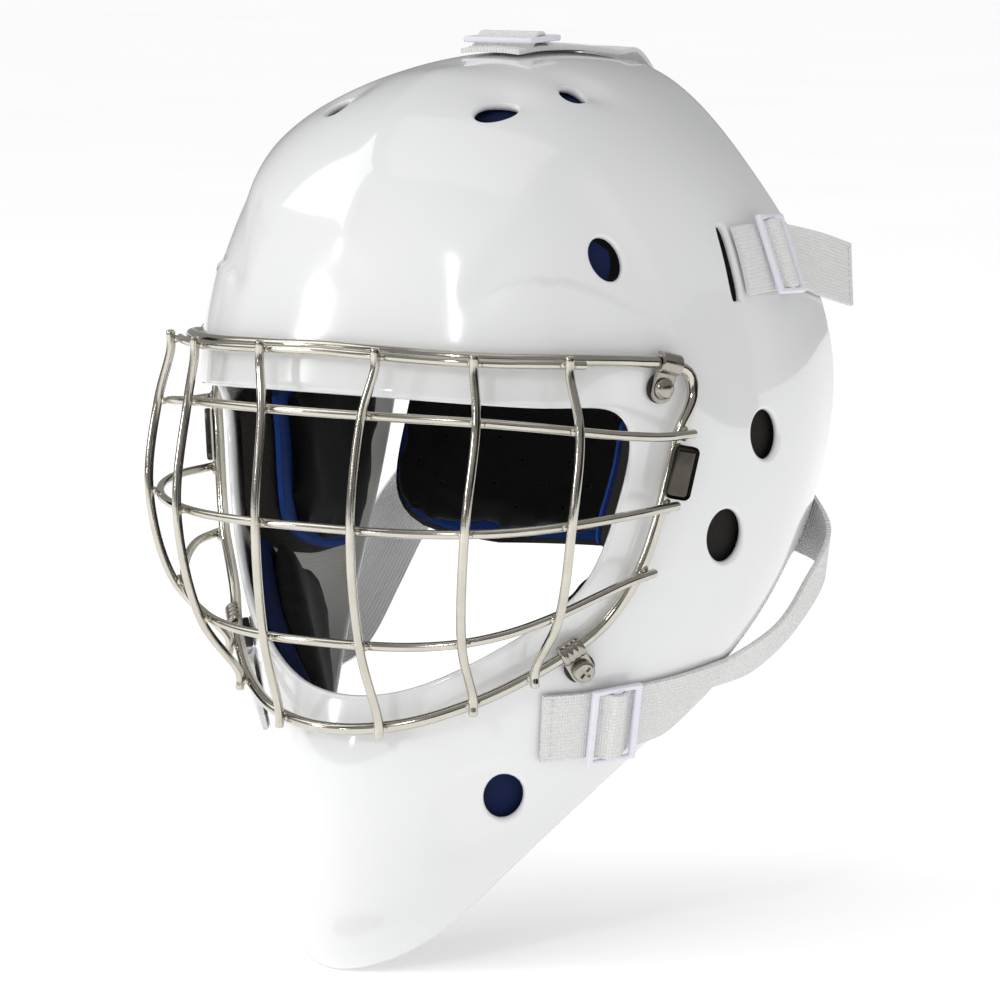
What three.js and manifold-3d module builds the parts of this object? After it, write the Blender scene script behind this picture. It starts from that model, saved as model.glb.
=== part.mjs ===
// Ice hockey goalie mask: composite shell, wire cage, foam liner, backplate and elastic harness.
// Millimetres. +Z up, the face looks along -Y, +X is the wearer's left.
// The origin is the middle of the head cavity, where the wearer's head is.
import * as THREE from 'three';
import { mergeVertices } from 'three/addons/utils/BufferGeometryUtils.js';
import Module from 'manifold-3d';

const wasm = await Module();
wasm.setup();

// Overall sizes of the shell
const shellWidth = 215;
const shellDepth = 184.4;
const shellHeight = 319;
const wall = 3.2;

// Cage
const frameWire = 4.2;        // diameter of the wire bent round the face opening
const barWire = 3.3;          // diameter of the grid wires
const frameStandoff = 1.2;    // air between the frame wire and the shell
const browDrop = 1.4;         // how far the brow wire sits below the frame wire
const bow = { h1: 7.5, h2: 12.6, h3: 8.4 };   // how far each cross bar stands in front of the frame
const plateWidth = 10;
const plateThickness = 2;

// Cage fasteners
const clipWidth = 9;
const clipThickness = 1.2;
const screwShank = 4;
const screwHead = 8;
const screwHeadHeight = 2.6;
const washerDiameter = 11;
const nutFlange = 11;
const nutBarrel = 6.4;
const nutFlangeThickness = 1.2;
const tabMargin = 1.5;        // metal left beyond the screw's head
const hookWrap = 200;         // degrees that the clip goes round the wire
const washerSeat = 0.6;       // under the washer and over the nut's flange

// Harness
const strapWidth = 25;
const strapThickness = 1.8;
const slideBar = 2.6;
const slideCentreBar = 4;
const slideWindow = 5.6;
const slideThickness = 2.2;
const slideOverhang = 5;      // how much wider a slide is than its strap
const slideCorner = 2;

// Liner
const linerGap = 2;           // stand-off of the foam from the shell, clears the nut flanges
const foam = { brow: 11, crown: 12, side: 12, jaw: 7 };
const blueLayer = 2.5;
const comfortLayer = { brow: 5, side: 6, jaw: 8 };

// Backplate
const backplateWidth = 192;     // at its foot
const backplateTopWidth = 160;
const backplateHeight = 137;
const backplateBulge = 50;    // how far its middle stands behind its ends
const backplateDish = 14;     // how far its middle stands behind its top and foot
const bulgeSquareness = 2.2;
const backplateThickness = 3;
const backplateRear = 124;    // rearmost point
const backplateMiddle = 8.5;  // height of its centre
const backFoam = 4;
const backPad = 9;
const backplateGap = 2.2;     // between the plate and its foam

// Clearances
const gap = 0.3;              // between pieces that touch
const holeClearance = 0.4;    // radial, round a shank or a barrel
const clipClearance = 0.6;    // radial, between the clip's hook and the wire
const slotClearance = 1.2;    // round a strap in its slot
const slotLead = 4;           // how far a slot lies ahead of the strap that comes out of it
const strapLift = 1.3;        // between the shell and a strap over it
const slideStandoff = 0.7;    // between a strap and the slide over it

// The shell's control net is drawn on a master of this size and stretched to the sizes above.
const master = { width: 215, depth: 184.4, height: 319 };
const stretch = new THREE.Vector3(
  shellWidth / master.width, shellDepth / master.depth, shellHeight / master.height);

// Rows run from the face opening to the rear edge. Each row runs from the middle of the
// forehead down the left side to the middle of the chin, and the right side mirrors it.
const net = [
  [[0, -104, 22], [31, -103, 22], [60, -94, 20.5], [80, -75, 18.5], [88, -53, 18], [90, -41, 5],
    [85.5, -47, -22], [77.5, -53, -52], [57, -73, -69], [29, -91, -86], [0, -98, -90]],
  [[0, -98.5, 55], [33, -96, 54], [64, -86.5, 50], [86, -64, 44], [98, -38, 32], [101, -24, 6],
    [96.5, -27, -28], [88, -34, -64], [63, -60, -96], [33, -93, -109], [0, -107, -112]],
  [[0, -89, 96], [34, -84, 94], [67, -70, 88], [85, -43, 74], [97, -14, 48], [107, 4, 8],
    [104, -3, -34], [94, -10, -76], [66, -46, -117], [31, -88, -137], [0, -107, -141]],
  [[0, -55, 127], [33, -51, 125], [67, -38, 114], [88, -10, 90], [102, 14, 54], [110, 30, 10],
    [107, 24, -38], [96, 12, -81], [63, -38, -127], [33, -86, -158], [0, -110, -167]],
  [[0, 10, 140], [34, 12, 135], [63, 20, 115], [85, 30, 90], [100, 42, 58], [107, 60, 12],
    [105, 46, -42], [94, 24, -82], [58, -39, -135], [34, -88, -172], [0, -113, -182]],
  [[0, 78, 134], [30, 74, 127], [56, 66, 110], [77, 60, 90], [94, 68, 62], [99.5, 88, 18],
    [98, 66, -38], [90, 36, -79], [50, -42, -140], [32, -85, -178], [0, -112, -187]],
];
const half = net[0].length - 1;
const columns = 2 * half;
const lastRow = net.length - 1;

const v3 = (x, y, z) => new THREE.Vector3(x, y, z);
const place = (x, y, z) => v3(x, y, z).multiply(stretch);

function mirrored(row) {
  const left = row.map(p => place(...p));
  const right = left.slice(1, half).reverse().map(p => v3(-p.x, p.y, p.z));
  return [...left, ...right];
}

// A phantom row beyond each edge makes the surface end on its first and last rows.
const rows = net.map(mirrored);
const beyond = (edge, inner) => edge.map((p, j) => p.clone().multiplyScalar(2).sub(inner[j]));
const grid = [beyond(rows[0], rows[1]), ...rows, beyond(rows[lastRow], rows[lastRow - 1])];

const cubic = t => [(1 - t) ** 3, 3 * t ** 3 - 6 * t ** 2 + 4,
  -3 * t ** 3 + 3 * t ** 2 + 3 * t + 1, t ** 3].map(w => w / 6);

// Outer skin of the shell: u counts columns round the face, v counts rows front to rear.
function skin(u, v) {
  const row = Math.min(Math.max(Math.floor(v), 0), lastRow - 1);
  const column = Math.floor(u);
  const across = cubic(u - column);
  const along = cubic(v - row);
  const point = v3(0, 0, 0);
  for (let i = 0; i < 4; i++) {
    for (let j = 0; j < 4; j++) {
      const at = (((column + j - 1) % columns) + columns) % columns;
      point.addScaledVector(grid[row + i][at], along[i] * across[j]);
    }
  }
  return point;
}

const step = 0.01;
function outward(u, v) {
  const du = skin(u + step, v).sub(skin(u - step, v));
  const dv = skin(u, v + step).sub(skin(u, v - step));
  return du.cross(dv).normalize();
}

const offSkin = (u, v, distance) => skin(u, v).addScaledVector(outward(u, v), distance);

// Finds the skin's own coordinates where a line through a point along a direction meets it.
function meet(point, direction, seed) {
  const across = Math.abs(direction.z) < 0.9 ? v3(0, 0, 1) : v3(1, 0, 0);
  const a = direction.clone().cross(across).normalize();
  const b = direction.clone().cross(a).normalize();
  const miss = (u, v) => {
    const d = skin(u, v).sub(point);
    return [d.dot(a), d.dot(b)];
  };
  let [u, v] = seed;
  for (let turn = 0; turn < 12; turn++) {
    const [f, g] = miss(u, v);
    const [fu, gu] = miss(u + step, v).map((w, i) => (w - [f, g][i]) / step);
    const [fv, gv] = miss(u, v + step).map((w, i) => (w - [f, g][i]) / step);
    const det = fu * gv - fv * gu;
    u -= (f * gv - g * fv) / det;
    v -= (g * fu - f * gu) / det;
  }
  return [u, v];
}

// ---- Solids ----

// Winds a solid's triangles so that its faces point out, as after mirroring it.
function facingOut(geometry) {
  const whole = geometry.index ? geometry : mergeVertices(geometry, 1e-4);
  const at = whole.attributes.position;
  const index = Array.from(whole.index.array);
  const corner = i => v3().fromBufferAttribute(at, index[i]);
  let volume = 0;
  for (let i = 0; i < index.length; i += 3) {
    volume += corner(i).dot(corner(i + 1).cross(corner(i + 2)));
  }
  if (volume < 0) {
    index.reverse();
    whole.setIndex(index);
  }
  return whole;
}

function solid(points, faces) {
  const geometry = new THREE.BufferGeometry();
  const flat = new Float32Array(points.flatMap(p => [p.x, p.y, p.z]));
  geometry.setAttribute('position', new THREE.BufferAttribute(flat, 3));
  geometry.setIndex(faces.flat());
  return facingOut(geometry);
}

// Joins rings of points, each ring going out along a section's one face and back along the
// other. The facets of both faces split the same way, so stacked layers stay parallel.
// A closed loft has no end caps.
function loft(rings, closed = false) {
  const n = rings[0].length;
  const faces = [];
  const last = closed ? rings.length : rings.length - 1;
  for (let i = 0; i < last; i++) {
    const here = i * n;
    const next = ((i + 1) % rings.length) * n;
    for (let j = 0; j < n; j++) {
      const k = (j + 1) % n;
      if (j < n / 2) {
        faces.push([here + j, here + k, next + k], [here + j, next + k, next + j]);
      } else {
        faces.push([here + j, here + k, next + j], [here + k, next + k, next + j]);
      }
    }
  }
  if (!closed) {
    const end = (rings.length - 1) * n;
    for (let k = 0; k < n / 2 - 1; k++) {
      const quad = [k, k + 1, n - 2 - k, n - 1 - k];
      faces.push([quad[0], quad[2], quad[1]], [quad[0], quad[3], quad[2]]);
      const far = quad.map(q => end + q);
      faces.push([far[0], far[1], far[2]], [far[0], far[2], far[3]]);
    }
  }
  return solid(rings.flat(), faces);
}

function toManifold(geometry) {
  const bare = geometry.clone();
  for (const name of Object.keys(bare.attributes)) {
    if (name !== 'position') {
      bare.deleteAttribute(name);
    }
  }
  const merged = mergeVertices(bare, 1e-4);
  return new wasm.Manifold(new wasm.Mesh({
    numProp: 3,
    vertProperties: new Float32Array(merged.attributes.position.array),
    triVerts: new Uint32Array(merged.index.array),
  }));
}

function fromManifold(body) {
  const mesh = body.getMesh();
  const geometry = new THREE.BufferGeometry();
  geometry.setAttribute('position', new THREE.BufferAttribute(mesh.vertProperties, 3));
  geometry.setIndex(new THREE.BufferAttribute(mesh.triVerts, 1));
  return geometry;
}

const cut = (body, cutters) => fromManifold(
  cutters.reduce((rest, cutter) => rest.subtract(toManifold(cutter)), toManifold(body)));

// Local frame with z along `up` and y as near as possible to `forward`
function frameAt(origin, up, forward) {
  const z = up.clone().normalize();
  const x = forward.clone().cross(z).normalize();
  const y = z.clone().cross(x);
  return new THREE.Matrix4().makeBasis(x, y, z).setPosition(origin);
}

// Rod along a smooth curve through the points
function rod(points, diameter, steps, sides = 8) {
  const section = new THREE.Shape().absarc(0, 0, diameter / 2, 0, 2 * Math.PI);
  return new THREE.ExtrudeGeometry(section, {
    steps, curveSegments: sides / 2, bevelEnabled: false,
    extrudePath: new THREE.CatmullRomCurve3(points, false, 'centripetal'),
  });
}

// Ring of rod round a closed curve, lofted so that it has no ends
function closedRod(points, diameter, steps, sides = 8) {
  const curve = new THREE.CatmullRomCurve3(points, true, 'centripetal');
  const frames = curve.computeFrenetFrames(steps, true);
  const rings = [];
  for (let i = 0; i < steps; i++) {
    const centre = curve.getPointAt(i / steps);
    rings.push(Array.from({ length: sides }, (_, j) => {
      const angle = (2 * Math.PI * j) / sides;
      return centre.clone()
        .addScaledVector(frames.normals[i], (diameter / 2) * Math.cos(angle))
        .addScaledVector(frames.binormals[i], (diameter / 2) * Math.sin(angle));
    }));
  }
  return loft(rings, true);
}

const spread = (from, to, count) =>
  Array.from({ length: count + 1 }, (_, i) => from + ((to - from) * i) / count);

const model = new THREE.Group();
function add(name, geometry, finish) {
  const mesh = new THREE.Mesh(geometry, finish);
  mesh.name = name;
  model.add(mesh);
}

const finish = (color, roughness, metalness = 0) =>
  new THREE.MeshStandardMaterial({ color, roughness, metalness });
const gelcoat = finish(0xf2f2f4, 0.15);
const chromedWire = finish(0xc9c4b8, 0.18, 1);
const steel = finish(0xb5b2aa, 0.25, 1);
const blackRubber = finish(0x1b1a19, 0.8);
const charcoalFoam = finish(0x35322f, 0.9);
const blueFoam = finish(0x2a55a5, 0.85);
const blackLining = finish(0x1a1a1c, 0.85);
const blackPlastic = finish(0x141416, 0.3);
const elastic = finish(0xeeeeee, 0.9);
const acetal = finish(0xeceaf2, 0.35);

const sides = [['left', 1], ['right', -1]];
const flip = (p, side) => v3(p.x * side, p.y, p.z);
const sideways = new THREE.Matrix4().makeScale(-1, 1, 1);
const onSide = (body, side) => (side > 0 ? body : facingOut(body.applyMatrix4(sideways)));

// ---- Cage wires ----

// The frame wire's course over the skin, from the brow's middle to the chin's middle: column,
// row, and how far the wire stands off there beyond its least standoff
const frameCourse = [[0, 0.44, 0.6], [0.74, 0.43, 0.6], [1.8, 0.46, 0.8], [2.86, 0.58, 0.6],
  [3.6, 0.78, 0.4], [4.05, 1.08, 0.1], [4.3, 1.24, 0], [4.5, 1.16, 0.3], [4.66, 0.98, 0.8],
  [4.92, 0.7, 1], [5.4, 0.56, 1.2], [6.06, 0.52, 1.3], [6.5, 0.5, 1.2], [6.9, 0.49, 0.2],
  [7.2, 0.48, 0], [7.56, 0.42, 1], [8, 0.38, 2.4], [8.5, 0.38, 3.6], [9.2, 0.44, 4],
  [10, 0.48, 3.6]];
const frameLift = frameStandoff + frameWire / 2;
const leftFrame = frameCourse.map(([u, v, extra]) => offSkin(u, v, frameLift + extra));
const framePath = [...leftFrame, ...leftFrame.slice(1, -1).reverse().map(p => flip(p, -1))];
add('frame_wire', closedRod(framePath, frameWire, 72), chromedWire);

const frameCurve = new THREE.CatmullRomCurve3(leftFrame, false, 'centripetal');
const frameSamples = frameCurve.getPoints(400);
const nearestOnFrame = p => frameSamples.reduce((best, q) =>
  (q.distanceToSquared(p) < best.distanceToSquared(p) ? q : best));
const frameAtHeight = z => {
  const low = frameSamples.slice(120);
  return low.reduce((best, q) => (Math.abs(q.z - z) < Math.abs(best.z - z) ? q : best));
};

const wires = (frameWire + barWire) / 2 + gap;
const crossing = barWire + 2 * gap;

// A cross bar is a squarish arch from the frame's left side, round the front, to its right.
// It rests outside the frame wire and its ends stand a little past it.
const endOverhang = 2;
function crossBar(endHeight, frontHeight, front, squareness) {
  const rest = frameAtHeight(endHeight * stretch.z);
  const end = v3(rest.x + wires + endOverhang / 2, rest.y + endOverhang, rest.z);
  const at = x => {
    const share = Math.min(Math.abs(x) / end.x, 1);
    const y = end.y + (front - end.y) * (1 - share ** squareness) ** (1 / squareness);
    const z = frontHeight * stretch.z + (end.z - frontHeight * stretch.z) * share ** 4;
    return v3(x, y, z);
  };
  const angles = spread(0, Math.PI, 16);
  const path = angles.map(a => {
    const share = Math.sign(Math.cos(a)) * Math.abs(Math.cos(a)) ** (2 / squareness);
    return at(end.x * share);
  });
  return { at, path, end };
}
const barLine = leftFrame[0].y;
const cross = {
  h1: crossBar(6, 14.6, barLine - bow.h1, 2.2),
  h2: crossBar(-19, -25, barLine - bow.h2, 2.5),
  h3: crossBar(-43, -66, barLine - bow.h3, 2.1),
};
for (const [name, bar] of Object.entries(cross)) {
  add(`cross_bar_${name}`, rod(bar.path, barWire, 30), chromedWire);
}

// The brow wire doubles the frame wire across the forehead, in front of it and a little lower.
const browReach = 86 * stretch.x;
const browSamples = frameSamples.filter(p => p.x <= browReach && p.z > 0).map((p, i, run) => {
  const ahead = (run[i + 1] ?? p).clone().sub(run[Math.max(i - 1, 0)]);
  const away = v3(ahead.y, -ahead.x, 0).normalize();
  return p.clone().addScaledVector(away, wires).add(v3(0, 0, -browDrop));
});
const browLeft = browSamples.filter((_, i) => i % 12 === 0);
const browPath = [...browLeft.slice(1).reverse().map(p => flip(p, -1)), ...browLeft];
add('brow_wire', rod(browPath, barWire, 26), chromedWire);

// An upright bar crosses outside the brow wire, the three cross bars and the frame wire.
const uprights = { inner: [24.5, 20.8, 20, 20.1, 20], middle: [58, 60, 59.9, 54.3, 47.5],
  outer: [83, 87.7, 87.5, 80, 63] };
const lowFrame = frameSamples.filter(p => p.z < -60 * stretch.z);
const nearX = (list, x) => list.findIndex((q, i) => (q.x - x) * ((list[i + 1] ?? q).x - x) <= 0);
// The point of a sampled wire beside x, moved off the wire away from the face
function beside(list, x, distance) {
  const i = Math.max(nearX(list, x), 1);
  const run = list[i + 1].clone().sub(list[i - 1]);
  const away = v3(run.y, -run.x, 0).multiplyScalar(Math.sign(run.x) || 1).normalize();
  return list[i].clone().addScaledVector(away, distance);
}
const barSamples = bar => spread(0, 0.999, 400).map(share => bar.at(bar.end.x * share));
for (const [name, across] of Object.entries(uprights)) {
  const [top, x1, x2, x3, foot] = across.map(x => x * stretch.x);
  const brow = beside(browSamples, top, crossing);
  const low = beside(lowFrame, foot, wires);
  const path = [
    brow.clone().add(v3(0, 0, barWire / 2 + 1)), brow.clone().add(v3(0, 0, -barWire)),
    beside(barSamples(cross.h1), x1, crossing), beside(barSamples(cross.h2), x2, crossing),
    beside(barSamples(cross.h3), x3, crossing),
    low.clone().add(v3(0, 0, frameWire / 2)), low.clone().add(v3(0, 0, -frameWire / 2 - 1)),
  ];
  for (const [side, sign] of sides) {
    add(`upright_bar_${name}_${side}`, rod(path.map(p => flip(p, sign)), barWire, 20),
      chromedWire);
  }
}

// Flat steel plate on the frame wire between the ends of the two upper cross bars
const plateTop = cross.h1.end.z - crossing / 2 - gap;
const plateFoot = cross.h2.end.z + crossing / 2 + gap;
const plateRise = frameAtHeight(plateTop).sub(frameAtHeight(plateFoot)).normalize();
const plateFacing = v3(0.86, -0.5, 0);
const plateOut = plateFacing.projectOnPlane(plateRise).normalize();
const plateHeight = (plateTop - plateFoot) / plateRise.z - plateThickness;
const plateCentre = frameAtHeight((plateTop + plateFoot) / 2).clone()
  .addScaledVector(plateOut, (frameWire + plateThickness) / 2 + 2 * gap)
  .addScaledVector(plateRise.clone().cross(plateOut), plateWidth / 4);
const plateShape = new THREE.BoxGeometry(plateWidth, plateHeight, plateThickness);
for (const [side, sign] of sides) {
  const turn = frameAt(flip(plateCentre, sign), flip(plateOut, sign), flip(plateRise, sign));
  add(`side_plate_${side}`, plateShape.clone().applyMatrix4(turn), steel);
}

// ---- Cage clips ----

function lathe(profile, segments) {
  const points = profile.map(([r, h]) => new THREE.Vector2(r, h));
  return facingOut(new THREE.LatheGeometry(points, segments).rotateX(Math.PI / 2));
}

// Each clip hooks the frame wire at one height. Its screw stands beside the wire: the upper
// one inside the frame's loop, the lower one outside it.
const hookInner = frameWire / 2 + clipClearance;
const hookOuter = hookInner + clipThickness;
const clipReach = Math.max(hookOuter + screwHead / 2, (washerDiameter + frameWire) / 2) + gap;
const clipSpots = {
  upper: { hooks: [4, 1.04], outside: -1 },
  lower: { hooks: [7.56, 0.42], outside: 1 },
};
const headDome = [[0, 1], [0.5, 0.88], [0.86, 0.52], [1, 0]];   // shares of its radius and height
const clipSegments = 12;
const screwHoles = [];
const tabThicknessHalf = clipThickness / 2;
for (const [level, { hooks, outside }] of Object.entries(clipSpots)) {
  const wire = nearestOnFrame(offSkin(...hooks, frameLift));
  const spot = frameSamples.indexOf(wire);
  const wireWay = frameSamples[spot + 1].clone().sub(frameSamples[spot - 1]).normalize();
  const offWire = outward(...hooks).cross(wireWay).normalize().multiplyScalar(outside);
  const target = wire.clone().addScaledVector(offWire, clipReach + gap);
  const [u, v] = meet(target, outward(...hooks), hooks);
  const seat = skin(u, v);
  const up = outward(u, v);
  const lift = wire.clone().sub(seat).dot(up);
  const tabCentre = seat.clone().addScaledVector(up, lift);
  const reach = tabCentre.distanceTo(wire);
  const tabEnd = reach + screwHead / 2 + tabMargin;
  const far = (hookWrap * Math.PI) / 180;

  // The clip's side view: a tab, then a hook over the top of the wire
  const side = new THREE.Shape();
  side.moveTo(tabEnd, -tabThicknessHalf);
  side.lineTo(tabEnd, tabThicknessHalf);
  side.lineTo(Math.sqrt(hookOuter ** 2 - tabThicknessHalf ** 2), tabThicknessHalf);
  side.absarc(0, 0, hookOuter, Math.asin(tabThicknessHalf / hookOuter), far, false);
  side.absarc(0, 0, hookInner, far, -Math.asin(tabThicknessHalf / hookInner), true);
  const blank = new THREE.ExtrudeGeometry(side, {
    depth: clipWidth, bevelEnabled: false, curveSegments: 8,
  }).translate(0, 0, -clipWidth / 2);
  const across = screwShank / 2 + holeClearance;
  const drill = new THREE.CylinderGeometry(across, across, 4 * clipThickness, clipSegments)
    .translate(reach, 0, 0);
  const clip = cut(blank, [drill]);

  // In the side view x runs from wire to screw, y is outward and z follows the wire.
  const toScrew = tabCentre.clone().sub(wire).normalize();
  const along = toScrew.clone().cross(up).normalize();
  const clipFrame = new THREE.Matrix4().makeBasis(toScrew, up, along).setPosition(wire);
  const screwFrame = frameAt(seat, up, toScrew);
  const tabTop = lift + tabThicknessHalf;
  const tabFoot = lift - tabThicknessHalf;
  const nutFace = -wall - washerSeat;
  const shank = screwShank / 2;
  const headFoot = tabTop + gap;
  const dome = headDome.map(([r, h]) => [(r * screwHead) / 2, headFoot + h * screwHeadHeight]);
  const screw = lathe([...dome, [shank, headFoot], [shank, nutFace], [0, nutFace]],
    clipSegments);
  const rim = washerDiameter / 2;
  const eye = shank + holeClearance;
  const washer = lathe([[eye, washerSeat], [rim, washerSeat], [rim, tabFoot - gap],
    [eye, tabFoot - gap], [eye, washerSeat]], clipSegments);
  const barrel = nutBarrel / 2;
  const nut = lathe([[eye, -gap], [barrel, -gap], [barrel, nutFace], [nutFlange / 2, nutFace],
    [nutFlange / 2, nutFace - nutFlangeThickness], [eye, nutFace - nutFlangeThickness],
    [eye, -gap]], clipSegments);
  const set = {
    cage_clip: [clip, clipFrame, steel],
    clip_screw: [screw, screwFrame, steel],
    clip_washer: [washer, screwFrame, blackRubber],
    clip_nut: [nut, screwFrame, steel],
  };
  for (const [name, sign] of sides) {
    for (const [piece, [shape, at, material]] of Object.entries(set)) {
      add(`${piece}_${level}_${name}`, onSide(shape.clone().applyMatrix4(at), sign), material);
    }
    const bore = barrel + holeClearance;
    const hole = new THREE.CylinderGeometry(bore, bore, 4 * wall, clipSegments)
      .rotateX(Math.PI / 2).translate(0, 0, -wall / 2);
    screwHoles.push(onSide(hole.applyMatrix4(screwFrame), sign));
  }
}

// ---- Vents ----

// Each vent is an oval hole square to the skin: where it is, its half sizes and its lean.
const vents = {
  brow: { at: [32, -46, 113], seed: [1, 3], half: [9, 5.5], lean: 0.1 },
  top: { at: [45, -15, 124], seed: [1.5, 3.5], half: [8, 5], lean: 0.1 },
  temple: { at: [88, -52, 68], seed: [3.3, 2], half: [6.5, 8.2], lean: 0 },
  ear: { at: [103, 16, 1], seed: [5.3, 3], half: [8.2, 9.2], lean: 0.25 },
  cheek: { at: [100, -3, -34], seed: [6, 2.4], half: [9, 10], lean: 0.25 },
  jaw: { at: [52, -68, -124], seed: [8.4, 2.2], half: [7.5, 8.5], lean: 0.2 },
};
const ventRay = { brow: v3(0.35, -0.5, 1), top: v3(0.35, -0.1, 1) };
const ventCutters = [];
for (const [name, vent] of Object.entries(vents)) {
  const target = place(...vent.at);
  const ray = ventRay[name] ?? v3(target.x, 0.4 * target.y, 0);
  const [u, v] = meet(target, ray.normalize(), vent.seed);
  const normal = outward(u, v);
  const spot = frameAt(skin(u, v), normal, v3(0, -0.3, 1).applyAxisAngle(normal, vent.lean));
  const oval = new THREE.CylinderGeometry(1, 1, 1, 16).rotateX(Math.PI / 2)
    .scale(vent.half[0], vent.half[1], 8 * wall).applyMatrix4(spot);
  ventCutters.push(oval, onSide(oval.clone(), -1));
}

// ---- Harness straps and slides ----

// A strap is a band of sections. On the shell each section follows the skin across its width.
const bandCuts = 4;
const laneOffsets = spread(-strapWidth / 2, strapWidth / 2, bandCuts);
function skinSection(centre, direction, ray, seed, lift, inside = false) {
  const [u, v] = meet(centre, ray, seed);
  const normal = outward(u, v);
  const across = direction.clone().cross(normal).normalize();
  const low = [];
  const high = [];
  for (const offset of laneOffsets) {
    const lane = skin(u, v).addScaledVector(across, offset);
    const [lu, lv] = meet(lane, normal, [u, v]);
    const foot = skin(lu, lv);
    const base = inside ? -wall - lift - strapThickness : lift;
    low.push(foot.clone().addScaledVector(normal, base));
    high.push(foot.clone().addScaledVector(normal, base + strapThickness));
  }
  return [...low, ...high.reverse()];
}

// Off the shell a section is flat: a centre, the strap's running direction and its upper side.
function flatSection(centre, direction, normal) {
  const across = direction.clone().cross(normal).normalize();
  const up = across.clone().cross(direction).normalize();
  const lane = (offset, height) => centre.clone().addScaledVector(across, offset)
    .addScaledVector(up, height);
  return [...laneOffsets.map(o => lane(o, 0)),
    ...laneOffsets.map(o => lane(o, strapThickness)).reverse()];
}

const slideLength = 2 * slideBar + 2 * slideWindow + slideCentreBar;
const slideWidth = strapWidth + slideOverhang;
const slideBody = (() => {
  const outline = new THREE.Shape();
  const [a, b, r] = [slideWidth / 2, slideLength / 2, slideCorner];
  outline.moveTo(-a + r, -b).lineTo(a - r, -b).absarc(a - r, -b + r, r, -Math.PI / 2, 0);
  outline.lineTo(a, b - r).absarc(a - r, b - r, r, 0, Math.PI / 2);
  outline.lineTo(-a + r, b).absarc(-a + r, b - r, r, Math.PI / 2, Math.PI);
  outline.lineTo(-a, -b + r).absarc(-a + r, -b + r, r, Math.PI, 1.5 * Math.PI);
  const windowHalf = (strapWidth + slotClearance) / 2;
  for (const middle of [-1, 1].map(s => (s * (slideCentreBar + slideWindow)) / 2)) {
    const hole = new THREE.Path();
    const [lo, hi] = [middle - slideWindow / 2, middle + slideWindow / 2];
    hole.moveTo(-windowHalf, lo);
    hole.lineTo(-windowHalf, hi).lineTo(windowHalf, hi).lineTo(windowHalf, lo);
    hole.lineTo(-windowHalf, lo);
    outline.holes.push(hole);
  }
  return new THREE.ExtrudeGeometry(outline, {
    depth: slideThickness, bevelEnabled: false, curveSegments: 3,
  });
})();

const slideLift = strapLift + strapThickness + slideStandoff;
const slotCutters = [];
function slot(centreUV, direction) {
  const [u, v] = centreUV;
  const spot = frameAt(skin(u, v), outward(u, v), direction);
  const box = new THREE.BoxGeometry(strapWidth + 2 * slotClearance,
    strapThickness + 2 * slotClearance + 1, 6 * wall);
  return box.applyMatrix4(spot);
}

function addStrap(name, sections, sign) {
  const band = sections.map(ring => ring.map(p => flip(p, sign)));
  add(name, loft(band), elastic);
}
function addSlide(name, centreUV, direction, sign) {
  const [u, v] = centreUV;
  const spot = frameAt(offSkin(u, v, slideLift), outward(u, v), direction);
  add(name, onSide(slideBody.clone().applyMatrix4(spot), sign), acetal);
}

// Rear face of the backplate, which carries the straps' inner ends
const bowLine = (x, z) => backplateRear * stretch.y
  - backplateBulge * (Math.abs(x) / (backplateWidth / 2)) ** bulgeSquareness
  - backplateDish * ((z - backplateMiddle) / (backplateHeight / 2)) ** 2;
const plateLift = 3 * gap;
function onBackplate(x, z, distance) {
  const slopeX = (bowLine(x + step, z) - bowLine(x - step, z)) / (2 * step);
  const slopeZ = (bowLine(x, z + step) - bowLine(x, z - step)) / (2 * step);
  return v3(x, bowLine(x, z), z).addScaledVector(v3(-slopeX, 1, -slopeZ).normalize(), distance);
}
// A strap's section that lies on the backplate, across the direction that `lean` turns from up
function plateSection(x, z, lean = 0) {
  const lane = (offset, lift) => onBackplate(
    x + offset * Math.sin(lean), z + offset * Math.cos(lean), lift);
  return [...laneOffsets.map(o => lane(o, plateLift)),
    ...laneOffsets.map(o => lane(o, plateLift + strapThickness)).reverse()];
}

// Lower straps: from the backplate's lower corners, round the jaw's rear edge, then forwards
// over the outside of the shell to a free end.
const lowerLine = [[86, 17, -89], [84, 8, -90.5], [82, -2, -92], [78.5, -13, -93.3],
  [76, -22, -94.5], [73, -30, -95.5], [70.5, -38, -96.5], [64, -53, -98], [59.5, -61, -98.5]]
  .map(p => place(...p));
const lowerSeeds = spread(0, 1, lowerLine.length - 1)
  .map(share => [7.1 + 0.9 * share, 4.6 - 3.4 * share]);
const wayAlong = (line, i) => line[Math.min(i + 1, line.length - 1)].clone()
  .sub(line[Math.max(i - 1, 0)]).normalize();
const lowerSlideAt = 6;
const lowerRay = v3(0.95, -0.1, -0.3).normalize();
const lowerSections = [
  plateSection(46, -22, 0.45), plateSection(56, -26.5, 0.45), plateSection(66, -31, 0.45),
  plateSection(76, -35.5, 0.45), plateSection(83, -38.5, 0.45),
  flatSection(place(94, 82, -49), v3(0.3, -0.65, -0.7), v3(0.85, 0.5, -0.1)),
  flatSection(place(94, 64, -67), v3(-0.05, -0.8, -0.6), v3(0.9, 0.3, -0.3)),
  flatSection(place(90.5, 43, -81), v3(-0.05, -0.93, -0.35), v3(0.8, 0.2, -0.55)),
  ...lowerLine.map((c, i) =>
    skinSection(c, wayAlong(lowerLine, i), lowerRay, lowerSeeds[i], strapLift)),
];
for (const [name, sign] of sides) {
  addStrap(`lower_strap_${name}`, lowerSections, sign);
  const spot = meet(lowerLine[lowerSlideAt], lowerRay, lowerSeeds[lowerSlideAt]);
  addSlide(`lower_slide_${name}`, spot, wayAlong(lowerLine, lowerSlideAt), sign);
}

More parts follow.
